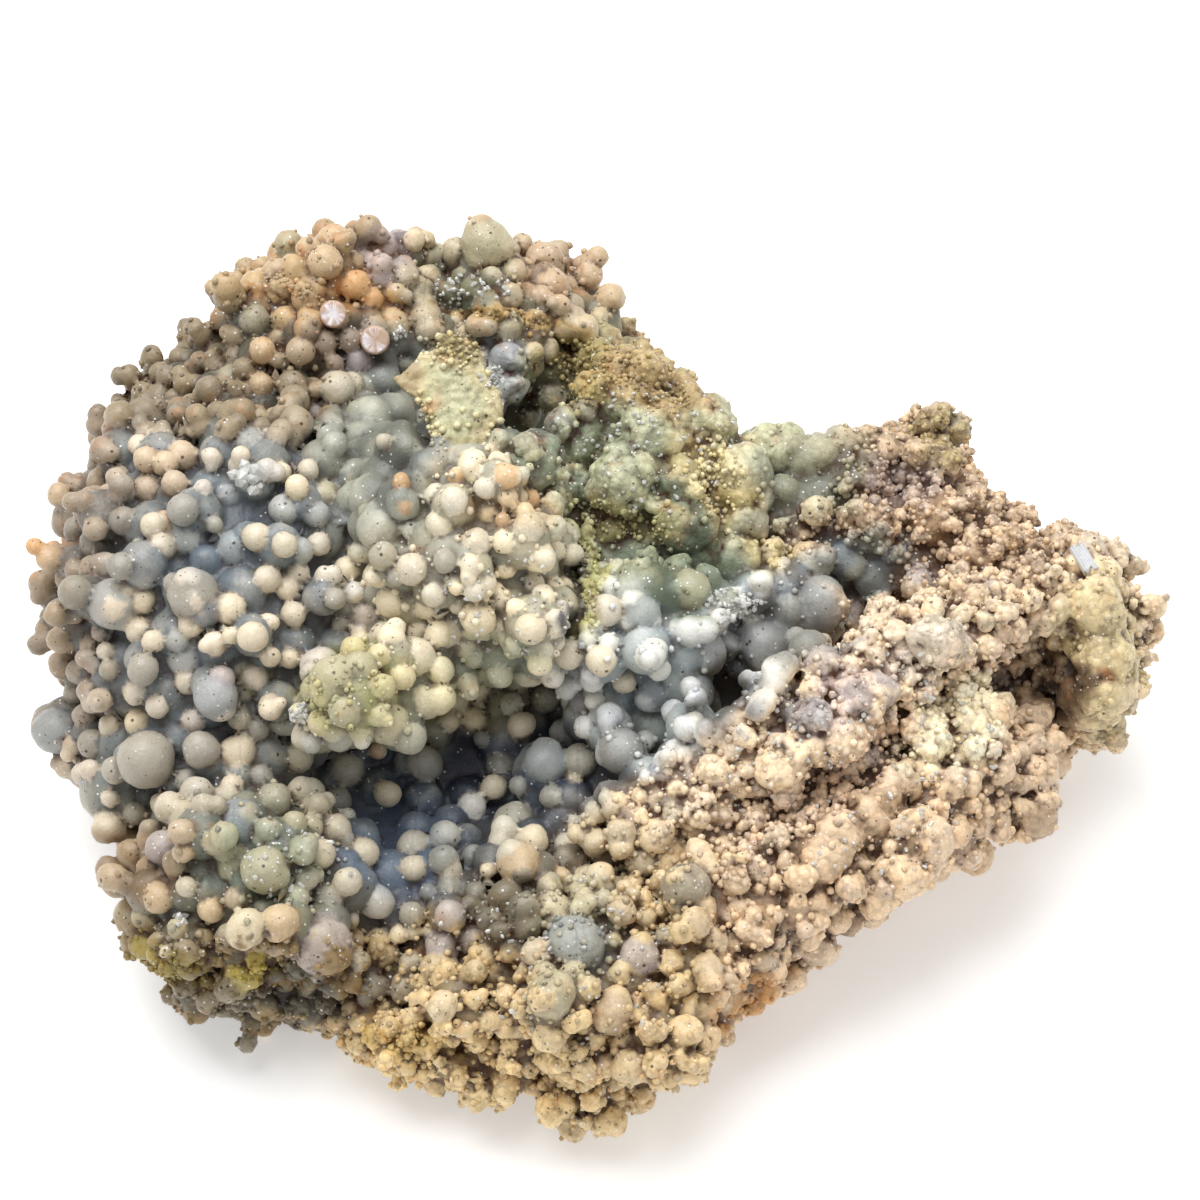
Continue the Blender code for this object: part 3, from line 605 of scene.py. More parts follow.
def grow(name, spots, template, fields, upright=None):
    """One mesh of copies of a template on places, with the values of each place as attributes.

    The field radius sizes a copy. Copies stand along the upright vectors, or turn at random.
    """
    data = bpy.data.meshes.new(name)
    data.from_pydata(spots, [], [])
    for field, values in fields.items():
        data.attributes.new(field, "FLOAT", "POINT").data.foreach_set("value", values)
    if upright is not None:
        layer = data.attributes.new("upright", "FLOAT_VECTOR", "POINT")
        layer.data.foreach_set("vector", np.array(upright, np.float32).ravel())
    obj = bpy.data.objects.new(name, data)
    bpy.context.scene.collection.objects.link(obj)
    group = bpy.data.node_groups.new(name, "GeometryNodeTree")
    group.interface.new_socket("Geometry", in_out="INPUT", socket_type="NodeSocketGeometry")
    group.interface.new_socket("Geometry", in_out="OUTPUT", socket_type="NodeSocketGeometry")
    nodes, links = group.nodes, group.links
    start = nodes.new("NodeGroupInput")
    end = nodes.new("NodeGroupOutput")
    shape = nodes.new("GeometryNodeObjectInfo")
    shape.inputs["Object"].default_value = template
    size = nodes.new("GeometryNodeInputNamedAttribute")
    size.data_type = "FLOAT"
    size.inputs["Name"].default_value = "radius"
    place = nodes.new("GeometryNodeInstanceOnPoints")
    make_real = nodes.new("GeometryNodeRealizeInstances")
    if upright is None:
        turn = nodes.new("FunctionNodeRandomValue")
        turn.data_type = "FLOAT_VECTOR"
        turn.inputs["Max"].default_value = (math.tau, math.tau, math.tau)
        links.new(turn.outputs["Value"], place.inputs["Rotation"])
    else:
        way = nodes.new("GeometryNodeInputNamedAttribute")
        way.data_type = "FLOAT_VECTOR"
        way.inputs["Name"].default_value = "upright"
        turn = nodes.new("FunctionNodeAlignRotationToVector")
        turn.axis = "Z"
        links.new(way.outputs["Attribute"], turn.inputs["Vector"])
        links.new(turn.outputs["Rotation"], place.inputs["Rotation"])
    links.new(start.outputs[0], place.inputs["Points"])
    links.new(shape.outputs["Geometry"], place.inputs["Instance"])
    links.new(size.outputs["Attribute"], place.inputs["Scale"])
    links.new(place.outputs["Instances"], make_real.inputs["Geometry"])
    links.new(make_real.outputs["Geometry"], end.inputs[0])
    obj.modifiers.new("grow", "NODES").node_group = group
    apply_all(obj)
    return obj


def balls_from(name, grapes, ball):
    """One mesh of copies of a ball, one for each grape, with the grapes' rise and tint on it."""
    fields = {field: [getattr(grape, field) for grape in grapes] for field in ("radius", "rise", "tint")}
    return grow(name, [grape.spot for grape in grapes], ball, fields)


def ellipse_distances(pixels, middle, reach, turn):
    """How far pixels lie from the middle of a turned ellipse, squared, where 1 is its edge."""
    away = pixels - np.array(middle)
    angle = math.radians(turn)
    along = away[:, 0] * math.cos(angle) - away[:, 1] * math.sin(angle)
    over = away[:, 0] * math.sin(angle) + away[:, 1] * math.cos(angle)
    return (along / reach[0]) ** 2 + (over / reach[1]) ** 2


def ground_distances(pixels):
    return np.array([ellipse_distances(pixels, g.middle, g.reach, g.turn) for g in GROUNDS.values()])


def look_shares(pixels):
    """How far each ground gives its look to each pixel of an array: a row for each ground."""
    shares = np.exp(-3 * np.minimum(ground_distances(pixels), 30))
    return shares / shares.sum(axis=0)


def crust_cover(pixels):
    """How much of each pixel of an array crumbs of crust cover, 0 to 1."""
    cover = np.zeros(len(pixels))
    for crust in CRUSTS.values():
        away = ellipse_distances(pixels, crust.middle, crust.reach, crust.turn)
        cover = np.maximum(cover, crust.cover * np.clip(2 - 2 * away, 0, 1))
    return cover


class Crowd:
    """Grapes by their place, so that a new one can be kept clear of those already there."""

    def __init__(self, cell):
        self.cell = cell
        self.cells = {}

    def key(self, spot):
        return tuple(math.floor(value / self.cell) for value in spot)

    def add(self, spot, radius):
        self.cells.setdefault(self.key(spot), []).append((spot, radius))

    def clear_of(self, spot, radius, gap):
        x, y, z = self.key(spot)
        for i in (x - 1, x, x + 1):
            for j in (y - 1, y, y + 1):
                for k in (z - 1, z, z + 1):
                    for other, size in self.cells.get((i, j, k), ()):
                        if (spot - other).length < (radius + size) * gap:
                            return False
        return True


def seats_on(obj, chance, low=None, high=None, sandy=False):
    """The faces of an object between two planes that can carry growth, shuffled.

    Each comes as its place, its normal, its ground, and whether it lies under crust. For sandy growth
    they are thinned out to what grains and crumbs cover.
    """
    middles = vectors_of(obj.data.polygons, "center")
    normals = vectors_of(obj.data.polygons, "normal")
    keep = (middles[:, 2] > LOWEST_GRAPE) & (normals[:, 2] > STEEPEST)
    if low is not None:
        keep &= middles[:, 0] >= low
    if high is not None:
        keep &= middles[:, 0] < high
    middles, normals = middles[keep], normals[keep]
    pixels = pixels_of(middles)
    grounds = list(GROUNDS.values())
    nearest = np.argmin(ground_distances(pixels), axis=0)
    crust = crust_cover(pixels)
    order = np.random.default_rng(chance.randrange(10000)).permutation(len(middles))
    if sandy:
        order = order[:SANDY_SEATS]
        cover = np.maximum(np.array([ground.grains for ground in grounds])[nearest], crust)[order]
        order = order[np.linspace(0, 1, len(order)) < cover * SANDY_SHARE]
    for index in order.tolist():
        ground = grounds[nearest[index]]
        crusted = crust[index] > ground.grains
        yield Vector(middles[index].tolist()), Vector(normals[index].tolist()), ground, crusted


def make_rock(chance):
    """The bare rock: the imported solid's form, eased and drawn in under its skin, with bosses on it."""
    rock = copy_of(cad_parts["grape_agate"], "rock")
    rock.data.materials.clear()
    select_only(rock)
    bpy.ops.object.mode_set(mode="EDIT")
    bpy.ops.mesh.select_all(action="SELECT")
    bpy.ops.mesh.remove_doubles(threshold=MERGE)
    bpy.ops.object.mode_set(mode="OBJECT")
    voxel_skin(rock, ROCK_VOXEL)
    smooth = rock.modifiers.new("ease", "SMOOTH")
    smooth.factor = 0.5
    smooth.iterations = ROCK_EASING
    draw_in = rock.modifiers.new("draw_in", "DISPLACE")
    draw_in.strength = -ROCK_SHRINK
    draw_in.mid_level = 0
    apply_all(rock)
    for vert in rock.data.vertices:
        if vert.co.z < FOOT_HEIGHT:
            vert.co.z -= (FOOT_HEIGHT - vert.co.z) * FOOT_STRETCH

    rounds = []
    for kind, swell in SWELLS.items():
        crowd = Crowd(2 * swell.radii[1] * MM)
        for spot, normal, ground, _ in seats_on(rock, chance):
            radius = chance.uniform(*swell.radii) * MM
            if crowd.clear_of(spot, radius, swell.gap):
                crowd.add(spot, radius)
                middle = spot - normal * radius * swell.depth
                grape = Grape(middle, radius, 0, chance.random())
                if chance.random() < getattr(ground, kind) and fits(grape):
                    rounds.append(grape)
    ball = make_ball("ball", 4)
    rock = join("rock", rock, balls_from("swells", rounds, ball))
    bpy.data.objects.remove(ball)
    voxel_skin(rock, ROCK_VOXEL)
    return rock


class Face:
    """The surface of some objects, met along lines of sight."""

    def __init__(self, *objects):
        graph = bpy.context.evaluated_depsgraph_get()
        self.trees = [BVHTree.FromObject(obj, graph) for obj in objects]

    def meet(self, pixel):
        """Where a pixel's line of sight meets the surface, and the normal there, or None and None."""
        hits = [tree.ray_cast(EYE, sight_through(pixel)) for tree in self.trees]
        hits = [hit for hit in hits if hit[0] is not None]
        if not hits:
            return None, None
        nearest = min(hits, key=lambda hit: hit[3])
        return nearest[0], nearest[1]

    def seat(self, pixel):
        """The place on a pixel's line of sight where it meets the surface or passes nearest to it."""
        hit = self.meet(pixel)[0]
        if hit is not None:
            return hit
        steps = [EYE + sight_through(pixel) * (DISTANCE + step * 2 * MM) for step in range(-60, 61)]
        return min(steps, key=lambda place: self.trees[0].find_nearest(place)[3])

    def stem_to(self, spot, radius, tint):
        """Grapes that lead from the rock to a grape that doesn't touch it."""
        root = self.trees[0].find_nearest(spot)[0]
        gap = (spot - root).length
        count = int(gap / (radius * 0.8))
        return [
            Grape(root.lerp(spot, step / (count + 1)), radius * 0.85, 0.5, tint)
            for step in range(count + 1) if count > 0
        ]


def sized(radii, chance):
    """A radius between two that are given in millimetres, more often a small one."""
    least, most = radii
    return (least + (most - least) * chance.random() ** SMALL_LEAN) * MM


def wander(chance, share):
    """A short stray vector, as random as the share says."""
    return Vector([chance.gauss(0, share) for _ in range(3)])


def any_way(chance):
    return wander(chance, 1).normalized()


def under_top(spot, radius):
    """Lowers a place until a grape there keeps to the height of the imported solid."""
    return Vector((spot.x, spot.y, min(spot.z, cad_high[2] + OUTSIDE - radius)))


def place_large_grapes(face, chance):
    """The grapes known by their place in the photo, their tones, and the runs of grapes."""
    grapes = []
    toned = []
    for tone, group in LARGE_GRAPES.items():
        for x, y, size in group:
            radius = size * PIXEL
            tint = chance.random()
            spot = face.seat((x, y)) - sight_through((x, y)) * radius * STANDS_PROUD[tone]
            spot = under_top(spot, radius)
            grapes.append(Grape(spot, radius, 0.8, tint))
            if size >= LOBED_FROM and (x, y) != ROUND_BALL:
                for _ in range(LOBES):
                    side = any_way(chance)
                    lobe = radius * chance.uniform(*LOBE_RADII)
                    place = under_top(spot + side * radius * LOBE_REACH, lobe)
                    grapes.append(Grape(place, lobe, 0.8, tint))
            grapes += face.stem_to(spot, radius, tint)
            toned.append((tone, spot, radius))
    for run in RUNS.values():
        tint = chance.random()
        near = face.seat(run.start) - SIGHT * run.first * PIXEL * run.proud
        far = face.seat(run.end) - SIGHT * run.last * PIXEL * run.proud
        length = (far - near).length
        count = max(2, math.ceil(length / (RUN_STEP * min(run.first, run.last) * PIXEL)))
        for step in range(count + 1):
            share = step / count
            radius = (run.first + (run.last - run.first) * share) * PIXEL * chance.uniform(*RUN_SPREAD)
            stray = wander(chance, RUN_STRAY) * radius
            grapes.append(Grape(under_top(near.lerp(far, share) + stray, radius), radius, 0.5, tint))
    return grapes, toned


def stack_of(spot, normal, radius, ground, chance):
    """A finger of grapes that grew into one another, outwards from the rock and a little up."""
    way = (normal + STACK_LEAN + wander(chance, STACK_STRAY)).normalized()
    tint = chance.random()
    count = chance.randint(*ground.stack)
    grapes = []
    place = spot + normal * radius * ground.lift
    for step in range(count):
        size = radius * chance.uniform(*STACK_SPREAD)
        grapes.append(Grape(place, size, 0.35 + 0.65 * (step + 1) / count, tint))
        if chance.random() < ground.buds:
            side = any_way(chance)
            bud = size * chance.uniform(*BUD_SPREAD)
            sideways = (side + normal * 0.6).normalized()
            grapes.append(Grape(place + sideways * size * 0.9, bud, 1.0, chance.random()))
        way = (way + wander(chance, STACK_STRAY)).normalized()
        place = place + way * size * chance.uniform(*STACK_STEP)
    return grapes


def fits(grape):
    """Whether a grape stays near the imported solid's box, out of the hollows and off the flake."""
    low, high = Vector(cad_low), Vector(cad_high)
    for spot, least, most in zip(grape.spot, low, high):
        if spot - grape.radius < least - OUTSIDE or spot + grape.radius > most + OUTSIDE:
            return False
    pixels = pixels_of(np.array([grape.spot]))
    for middle, reach in HOLLOWS.values():
        if ellipse_distances(pixels, middle, reach, 0)[0] < 1:
            return False
    if ellipse_distances(pixels, *FLAKE_CLEAR, 0)[0] > 1:
        return True
    above = (grape.spot - FLAKE_MIDDLE).dot(FLAKE_WAY)
    return above + grape.radius < -FLAKE_THICKNESS


def scatter_grapes(rock, large, chance):
    """Grapes seeded all over the rock between the large ones, each ground with its own sizes."""
    crowd = Crowd(10 * MM)
    for grape in large:
        crowd.add(grape.spot, grape.radius)
    grapes = []
    for spot, normal, ground, _ in seats_on(rock, chance):
        radius = sized(ground.radii, chance)
        if crowd.clear_of(spot, radius, ground.gap):
            crowd.add(spot, radius)
            grapes += stack_of(spot, normal, radius, ground, chance)
    return [grape for grape in grapes if fits(grape)]


def dent(obj, texture, height, direction="NORMAL"):
    """Moves an object's points in and out by a texture in space."""
    modifier = obj.modifiers.new("dent", "DISPLACE")
    modifier.texture = texture
    modifier.texture_coords = "GLOBAL"
    modifier.direction = direction
    modifier.strength = height
    return modifier


def clouds(name):
    texture = bpy.data.textures.new(name, "CLOUDS")
    texture.noise_scale = CLOUD_SIZES[name]
    return texture


def sink_ends(slab, low, high):
    """Sinks a slab's skin where it has passed into its neighbours, and flattens it on the floor."""
    spots = vectors_of(slab.data.vertices, "co")
    normals = vectors_of(slab.data.vertices, "normal")
    for edge, side in ((low, 1), (high, -1)):
        if edge is not None:
            beyond = np.clip((edge - spots[:, 0]) * side / SINK_RUN, 0, 1)
            spots -= normals * (beyond * SINK)[:, None]
    spots[:, 2] = np.maximum(spots[:, 2], 0)
    slab.data.vertices.foreach_set("co", spots.ravel())
    slab.data.update()


def roughness_of(pixels):
    """How rough the ground is at each pixel of an array, 0 to 1."""
    rough = look_shares(pixels).T @ np.array([LOOKS[name].rough for name in GROUNDS])
    return np.maximum(rough, crust_cover(pixels))


def roughen(obj):
    """Raises packed grains, on a broader crumble, on the rough grounds."""
    spots = vectors_of(obj.data.vertices, "co")
    normals = vectors_of(obj.data.vertices, "normal")
    rough = roughness_of(pixels_of(spots))
    waves = np.zeros(len(spots))
    for index in np.flatnonzero(rough > 0.04).tolist():
        place = Vector(spots[index].tolist())
        packed = 0.5 - noise.voronoi(place / PACKED_SIZE)[0][0]
        waves[index] = packed * PACKED_HEIGHT + noise.noise(place / CRUMBLE_SIZE) * CRUMBLE_HEIGHT
    spots += normals * (waves * rough)[:, None]
    obj.data.vertices.foreach_set("co", spots.ravel())
    obj.data.update()


def sink_under_flake(slab):
    """Presses what stands through the flake down behind it, with a lumpy slope towards its edge."""
    spots = vectors_of(slab.data.vertices, "co")
    over = (spots - np.array(FLAKE_MIDDLE)) @ np.array(FLAKE_WAY)
    away = ellipse_distances(pixels_of(spots), FLAKE_CLEAR[0], FLAKE_SHADE, 0)
    share = np.clip((1 - away) / FLAKE_SLOPE, 0, 1)
    pressed = (away < 1) & (over > -FLAKE_THICKNESS) & (over < PRESSED_HEIGHT)
    depth = (over + FLAKE_THICKNESS) * share
    spots[pressed] -= np.outer(depth[pressed], np.array(FLAKE_WAY))
    for index in np.flatnonzero(pressed).tolist():
        lump = noise.noise_vector(Vector(spots[index].tolist()) / LUMP_SIZE)
        spots[index] += np.array(lump) * LUMP_HEIGHT * share[index]
    slab.data.vertices.foreach_set("co", spots.ravel())
    slab.data.update()


def make_slab(rock, grapes, name, low, high, balls, dents):
    """The rock between two planes across X, fused with all the grapes that reach into it."""
    slab = copy_of(rock, name)
    keep_between(slab, None if low is None else low - MARGIN, None if high is None else high + MARGIN)
    own = [
        grape for grape in grapes
        if (low is None or grape.spot.x + grape.radius > low - MM)
        and (high is None or grape.spot.x - grape.radius < high + MM)
    ]
    small = [grape for grape in own if grape.radius < 3 * MM]
    large = [grape for grape in own if grape.radius >= 3 * MM]
    slab = join(name, slab, balls_from("small", small, balls[0]), balls_from("large", large, balls[1]))
    voxel_skin(slab, SKIN_VOXEL)
    dent(slab, dents, 2 * DENTS)
    thin = slab.modifiers.new("thin", "DECIMATE")
    thin.ratio = SKIN_SHARE
    apply_all(slab)
    roughen(slab)
    sink_under_flake(slab)
    sink_ends(slab, low, high)
    return slab


def scatter_grains(slab, crowd, low, high, template, texture, chance):
    """Grains on the sandy grounds of a slab, and crumbs on its crusts, in one piece."""
    grains = []
    for spot, normal, ground, crusted in seats_on(slab, chance, low, high, sandy=True):
        kind = CRUMBS if crusted else GRAINS
        radius = sized(kind.radii, chance)
        if crowd.clear_of(spot, radius, kind.gap):
            crowd.add(spot, radius)
            place = spot + normal * radius * chance.uniform(*kind.lift)
            grains.append(Grape(place, radius, chance.uniform(0.3, 1), chance.random()))
    if not grains:
        return None
    piece = balls_from(slab.name.replace("grapes", "grains"), grains, template)
    dent(piece, texture, GRAIN_DENTS)
    apply_all(piece)
    return piece


def make_flake(texture_bend, texture_crumble):
    """The loose flake of crust: its outline on its plane, thickened, bent a little and crumbly."""
    corners = []
    for pixel in FLAKE_OUTLINE:
        sight = sight_through(pixel)
        corners.append(EYE + sight * ((FLAKE_MIDDLE - EYE).dot(FLAKE_WAY) / sight.dot(FLAKE_WAY)))
    data = bpy.data.meshes.new("crust_flake")
    data.from_pydata(corners, [], [range(len(corners))])
    flake = bpy.data.objects.new("crust_flake", data)
    bpy.context.scene.collection.objects.link(flake)
    thicken = flake.modifiers.new("thicken", "SOLIDIFY")
    thicken.thickness = FLAKE_THICKNESS
    thicken.offset = 0
    apply_all(flake)
    voxel_skin(flake, FLAKE_VOXEL)
    dent(flake, texture_bend, FLAKE_BEND, "Z")
    dent(flake, texture_crumble, FLAKE_CRUMBLE)
    apply_all(flake)
    return flake


def make_broken_grape(name, face, x, y, size):
    """A grape broken across, facing the viewer, with rays from the middle of its inside."""
    radius = size * PIXEL
    sight = sight_through((x, y))
    middle = face.seat((x, y)) - sight * radius * BROKEN_PROUD
    bpy.ops.mesh.primitive_uv_sphere_add(segments=36, ring_count=18, radius=radius, location=middle)
    grape = bpy.context.object
    grape.name = name
    bpy.ops.object.transform_apply(location=True, rotation=False, scale=False)
    cut = middle - sight * radius * BROKEN_CUT
    select_only(grape)
    bpy.ops.object.mode_set(mode="EDIT")
    bpy.ops.mesh.select_all(action="SELECT")
    bpy.ops.mesh.bisect(plane_co=cut, plane_no=sight, clear_inner=True)
    bpy.ops.mesh.edge_face_add()
    bpy.ops.mesh.select_mode(type="FACE")
    bpy.ops.mesh.inset(thickness=radius * RIM_WIDTH)
    bpy.ops.mesh.poke()
    bpy.ops.mesh.select_all(action="SELECT")
    bpy.ops.mesh.normals_make_consistent(inside=False)
    bpy.ops.object.mode_set(mode="OBJECT")
    return grape, cut, sight


def make_crystal():
    """A six-sided crystal with a point, upright."""
    bpy.ops.mesh.primitive_cylinder_add(vertices=6, radius=1, depth=2.4)
    crystal = bpy.context.object
    crystal.name = "crystal"
    bpy.ops.object.mode_set(mode="EDIT")
    bpy.ops.mesh.select_all(action="DESELECT")
    bpy.ops.object.mode_set(mode="OBJECT")
    for polygon in crystal.data.polygons:
        polygon.select = polygon.normal.z > 0.9
    bpy.ops.object.mode_set(mode="EDIT")
    bpy.ops.mesh.select_mode(type="FACE")
    bpy.ops.mesh.poke(offset=1.0)
    bpy.ops.object.mode_set(mode="OBJECT")
    return crystal


def grow_crystals(face, chance):
    """Clear crystals in their beds, upright on the skin."""
    template = make_crystal()
    spots = []
    radii = []
    ways = []
    for bed in CRYSTAL_BEDS.values():
        for _ in range(bed.count):
            turn = chance.uniform(0, math.tau)
            reach = math.sqrt(chance.random())
            pixel = (
                bed.middle[0] + bed.reach[0] * reach * math.cos(turn),
                bed.middle[1] + bed.reach[1] * reach * math.sin(turn),
            )
            spot, normal = face.meet(pixel)
            if spot is None:
                continue
            spots.append(spot)
            radii.append(chance.uniform(*bed.radii) * MM)
            ways.append((normal + wander(chance, 0.45)).normalized())
    crystals = grow("crystals", spots, template, {"radius": radii}, ways)
    bpy.data.objects.remove(template)
    return crystals


def make_chip(face, chance):
    """The white ribbed chip: thin bars side by side, lying askew on the skin."""
    start, end = face.seat(CHIP_START), face.seat(CHIP_END)
    along = (end - start).normalized()
    across = along.cross(SIGHT).normalized()
    turn = Matrix((across, across.cross(along), along)).transposed().to_4x4()
    bars = []
    for number in range(CHIP_RIBS):
        length = (end - start).length * chance.uniform(0.7, 1)
        shift = (number - (CHIP_RIBS - 1) / 2) * CHIP_WIDTH * 0.9
        place = (start + end) / 2 + across * shift - SIGHT * chance.uniform(0, 0.4) * MM
        bpy.ops.mesh.primitive_cylinder_add(vertices=6, radius=0.6, depth=1)
        bar = bpy.context.object
        size = Matrix.Diagonal((CHIP_WIDTH, CHIP_DEPTH, length, 1))
        bar.matrix_world = Matrix.Translation(place) @ turn @ size
        bars.append(bar)
    return join("ribbed_chip", *bars)


def linear(tone):
    """A tone out of 255 as the photo shows it, as a linear colour."""
    return np.array([(part / 255) ** 2.2 for part in tone])


def relief(obj):
    """How far each point stands out from the skin around it, and how deep in a crease it is, 0 to 1."""
    data = obj.data
    count = len(data.vertices)
    spots = vectors_of(data.vertices, "co")
    normals = vectors_of(data.vertices, "normal")
    ends = np.empty(len(data.edges) * 2, np.int32)
    data.edges.foreach_get("vertices", ends)
    first, second = ends.reshape(-1, 2).T
    neighbours = np.maximum(np.bincount(first, minlength=count) + np.bincount(second, minlength=count), 1)

    def eased(values):
        sums = [
            np.bincount(first, part[second], count) + np.bincount(second, part[first], count)
            for part in values.T
        ]
        return np.stack(sums, axis=1) / neighbours[:, None]

    near = eased(eased(spots))
    far = near
    for _ in range(RELIEF_ROUNDS):
        far = eased(far)
    stands_out = ((spots - far) * normals).sum(axis=1)
    sinks_in = ((near - spots) * normals).sum(axis=1)
    height = np.clip(0.5 + stands_out / (2 * RELIEF_HEIGHT), 0, 1)
    crease = np.clip(sinks_in / CREASE_DEPTH, 0, 1)
    return height, crease


def ripple(spots):
    """Pixels of wander for an array of places, so that the edges of a ground are ragged."""
    x, y, z = (spots / MM).T
    along = np.sin(x / 5.1 + 2 * np.sin(y / 4.3)) + np.sin(z / 3.1 + x / 2.3 + 1.7 * np.sin(y / 2.1))
    over = np.sin(y / 4.7 + 2 * np.sin(z / 3.9 + 1)) + np.sin(x / 2.9 + y / 2.2 + 1.5 * np.sin(z / 2.4))
    return np.stack([along, over], axis=1) * 8


def tone_layer(obj, name, tones):
    """Puts one colour a point on an object, as an attribute."""
    layer = obj.data.attributes.get(name) or obj.data.attributes.new(name, "FLOAT_COLOR", "POINT")
    opaque = np.ones((len(tones), 1))
    layer.data.foreach_set("color", np.hstack([tones, opaque]).astype(np.float32).ravel())


def paint(obj, toned, stains_and_shades):
    """Gives every point its tones and the amounts that the finish works with, as attributes."""
    data = obj.data
    spots = vectors_of(data.vertices, "co")
    pixels = pixels_of(spots) + ripple(spots)
    shares = look_shares(pixels)
    looks = [LOOKS[name] for name in GROUNDS]
    tip = shares.T @ np.array([linear(look.tip) for look in looks])
    deep = shares.T @ np.array([linear(look.deep) for look in looks])
    # Stains, and painted shade in the hollows, are laid over the tones
    for overlay in stains_and_shades.values():
        away = ellipse_distances(pixels, overlay.middle, overlay.reach, overlay.turn)
        share = (overlay.strength * np.clip(1.5 - away, 0, 1))[:, None]
        tip += (linear(overlay.tip) - tip) * share
        deep += (linear(overlay.deep) - deep) * share
    for tone, spot, radius in toned:
        near = np.linalg.norm(spots - np.array(spot), axis=1) < radius * TONE_REACH
        tip[near] += (linear(GRAPE_TONES[tone][0]) - tip[near]) * TONE_SHARE
        deep[near] += (linear(GRAPE_TONES[tone][1]) - deep[near]) * TONE_SHARE
    tone_layer(obj, "tip", tip)
    tone_layer(obj, "deep", deep)
    height, crease = relief(obj)
    amounts = {
        "height": height,
        "crease": crease,
        # How much the creases are browned: dirt and painted shade
        "dirt": shares.T @ np.array([look.dirt for look in looks]),
        "specks": shares.T @ np.array([look.specks for look in looks]),
        "rust": shares.T @ np.array([look.rust for look in looks]),
        "sparkle": shares.T @ np.array([look.sparkle for look in looks]),
        "rough": roughness_of(pixels),
    }
    for name, values in amounts.items():
        layer = data.attributes.new(name, "FLOAT", "POINT")
        layer.data.foreach_set("value", values.astype(np.float32))


def paint_inside(grape, cut, sight, chance):
    """Gives the inside of a broken grape its rays and its tan rim, and keeps it free of rust, specks, dirt
    and painted crease shade.
    """
    spots = vectors_of(grape.data.vertices, "co")
    away = spots - np.array(cut)
    on_cut = np.abs(away @ np.array(sight)) < 0.02 * MM
    reach = np.linalg.norm(away, axis=1)
    inner = on_cut & (reach < reach[on_cut].max() * 0.95)
    ray = np.array([chance.random() for _ in spots])[:, None]
    tones = np.tile(linear(BROKEN_RIM), (len(spots), 1))
    tones[inner] = (linear(RAY_DARK) + (linear(RAY_PALE) - linear(RAY_DARK)) * ray)[inner]
    tone_layer(grape, "tip", tones)
    tone_layer(grape, "deep", tones)
    for name in ("rust", "dirt", "specks", "crease"):
        layer = grape.data.attributes[name]
        values = np.empty(len(spots), np.float32)
        layer.data.foreach_get("value", values)
        values[inner] = 0
        layer.data.foreach_set("value", values)


class Term:
    """A socket of a material, on which Python's signs add Math nodes."""

    def __init__(self, finish, socket):
        self.finish = finish
        self.socket = socket

    def combine(self, operation, first, second):
        return self.finish.add("ShaderNodeMath", {"operation": operation}, {0: first, 1: second})

    def __add__(self, other):
        return self.combine("ADD", self, other)

    def __radd__(self, other):
        return self.combine("ADD", other, self)

    def __sub__(self, other):
        return self.combine("SUBTRACT", self, other)

    def __rsub__(self, other):
        return self.combine("SUBTRACT", other, self)

    def __mul__(self, other):
        return self.combine("MULTIPLY", self, other)

    def __rmul__(self, other):
        return self.combine("MULTIPLY", other, self)


class Finish:
    """A material under construction. Sizes of its patterns are real sizes in metres."""

    def __init__(self, name):
        self.material = bpy.data.materials.new(name)
        self.material.use_nodes = True
        self.tree = self.material.node_tree
        self.shader = self.tree.nodes["Principled BSDF"]
        self.place = self.add("ShaderNodeTexCoord", output="Object")

    def add(self, kind, settings=None, inputs=None, output=0):
        """Adds a node: its settings first, then the values or links of its sockets."""
        node = self.tree.nodes.new(kind)
        for name, value in (settings or {}).items():
            setattr(node, name, value)
        self.fill(node, inputs or {})
        return Term(self, node.outputs[output])

    def fill(self, node, inputs):
        for name, value in inputs.items():
            if isinstance(value, Term):
                self.tree.links.new(value.socket, node.inputs[name])
            else:
                node.inputs[name].default_value = value

    def set(self, **inputs):
        self.fill(self.shader, {name.replace("_", " "): value for name, value in inputs.items()})

    def amount(self, name):
        return self.add("ShaderNodeAttribute", {"attribute_name": name}, output="Fac")

    def tone(self, name):
        return self.add("ShaderNodeAttribute", {"attribute_name": name}, output="Color")

    def noise(self, size, detail=2.0):
        inputs = {"Vector": self.place, "Scale": 1 / size, "Detail": detail}
        return self.add("ShaderNodeTexNoise", {}, inputs, "Fac")

    def cells(self, size):
        """How far a place is from the middle of its cell, and a number of that cell's own."""
        inputs = {"Vector": self.place, "Scale": 1 / size}
        away = self.add("ShaderNodeTexVoronoi", {}, inputs, "Distance")
        own = Term(self, away.socket.node.outputs["Color"])
        return away, self.add("ShaderNodeSeparateColor", {}, {0: own}, 1)

    def step(self, value, low, high):
        """Rises smoothly from 0 to 1 as the value goes from low to high."""
        inputs = {"Value": value, "From Min": low, "From Max": high}
        return self.add("ShaderNodeMapRange", {"interpolation_type": "SMOOTHSTEP"}, inputs)

    def mix(self, first, second, share):
        inputs = {0: share, 6: first, 7: second}
        return self.add("ShaderNodeMix", {"data_type": "RGBA"}, inputs, 2)

    def times(self, tone, factors):
        """A tone times another, part by part."""
        return self.add("ShaderNodeVectorMath", {"operation": "MULTIPLY"}, {0: tone, 1: factors})

    def bump(self, height, depth, strength=1.0):
        inputs = {"Height": height, "Distance": depth, "Strength": strength}
        self.set(Normal=self.add("ShaderNodeBump", {}, inputs))


def solid(tone):
    return (*linear(tone), 1.0)


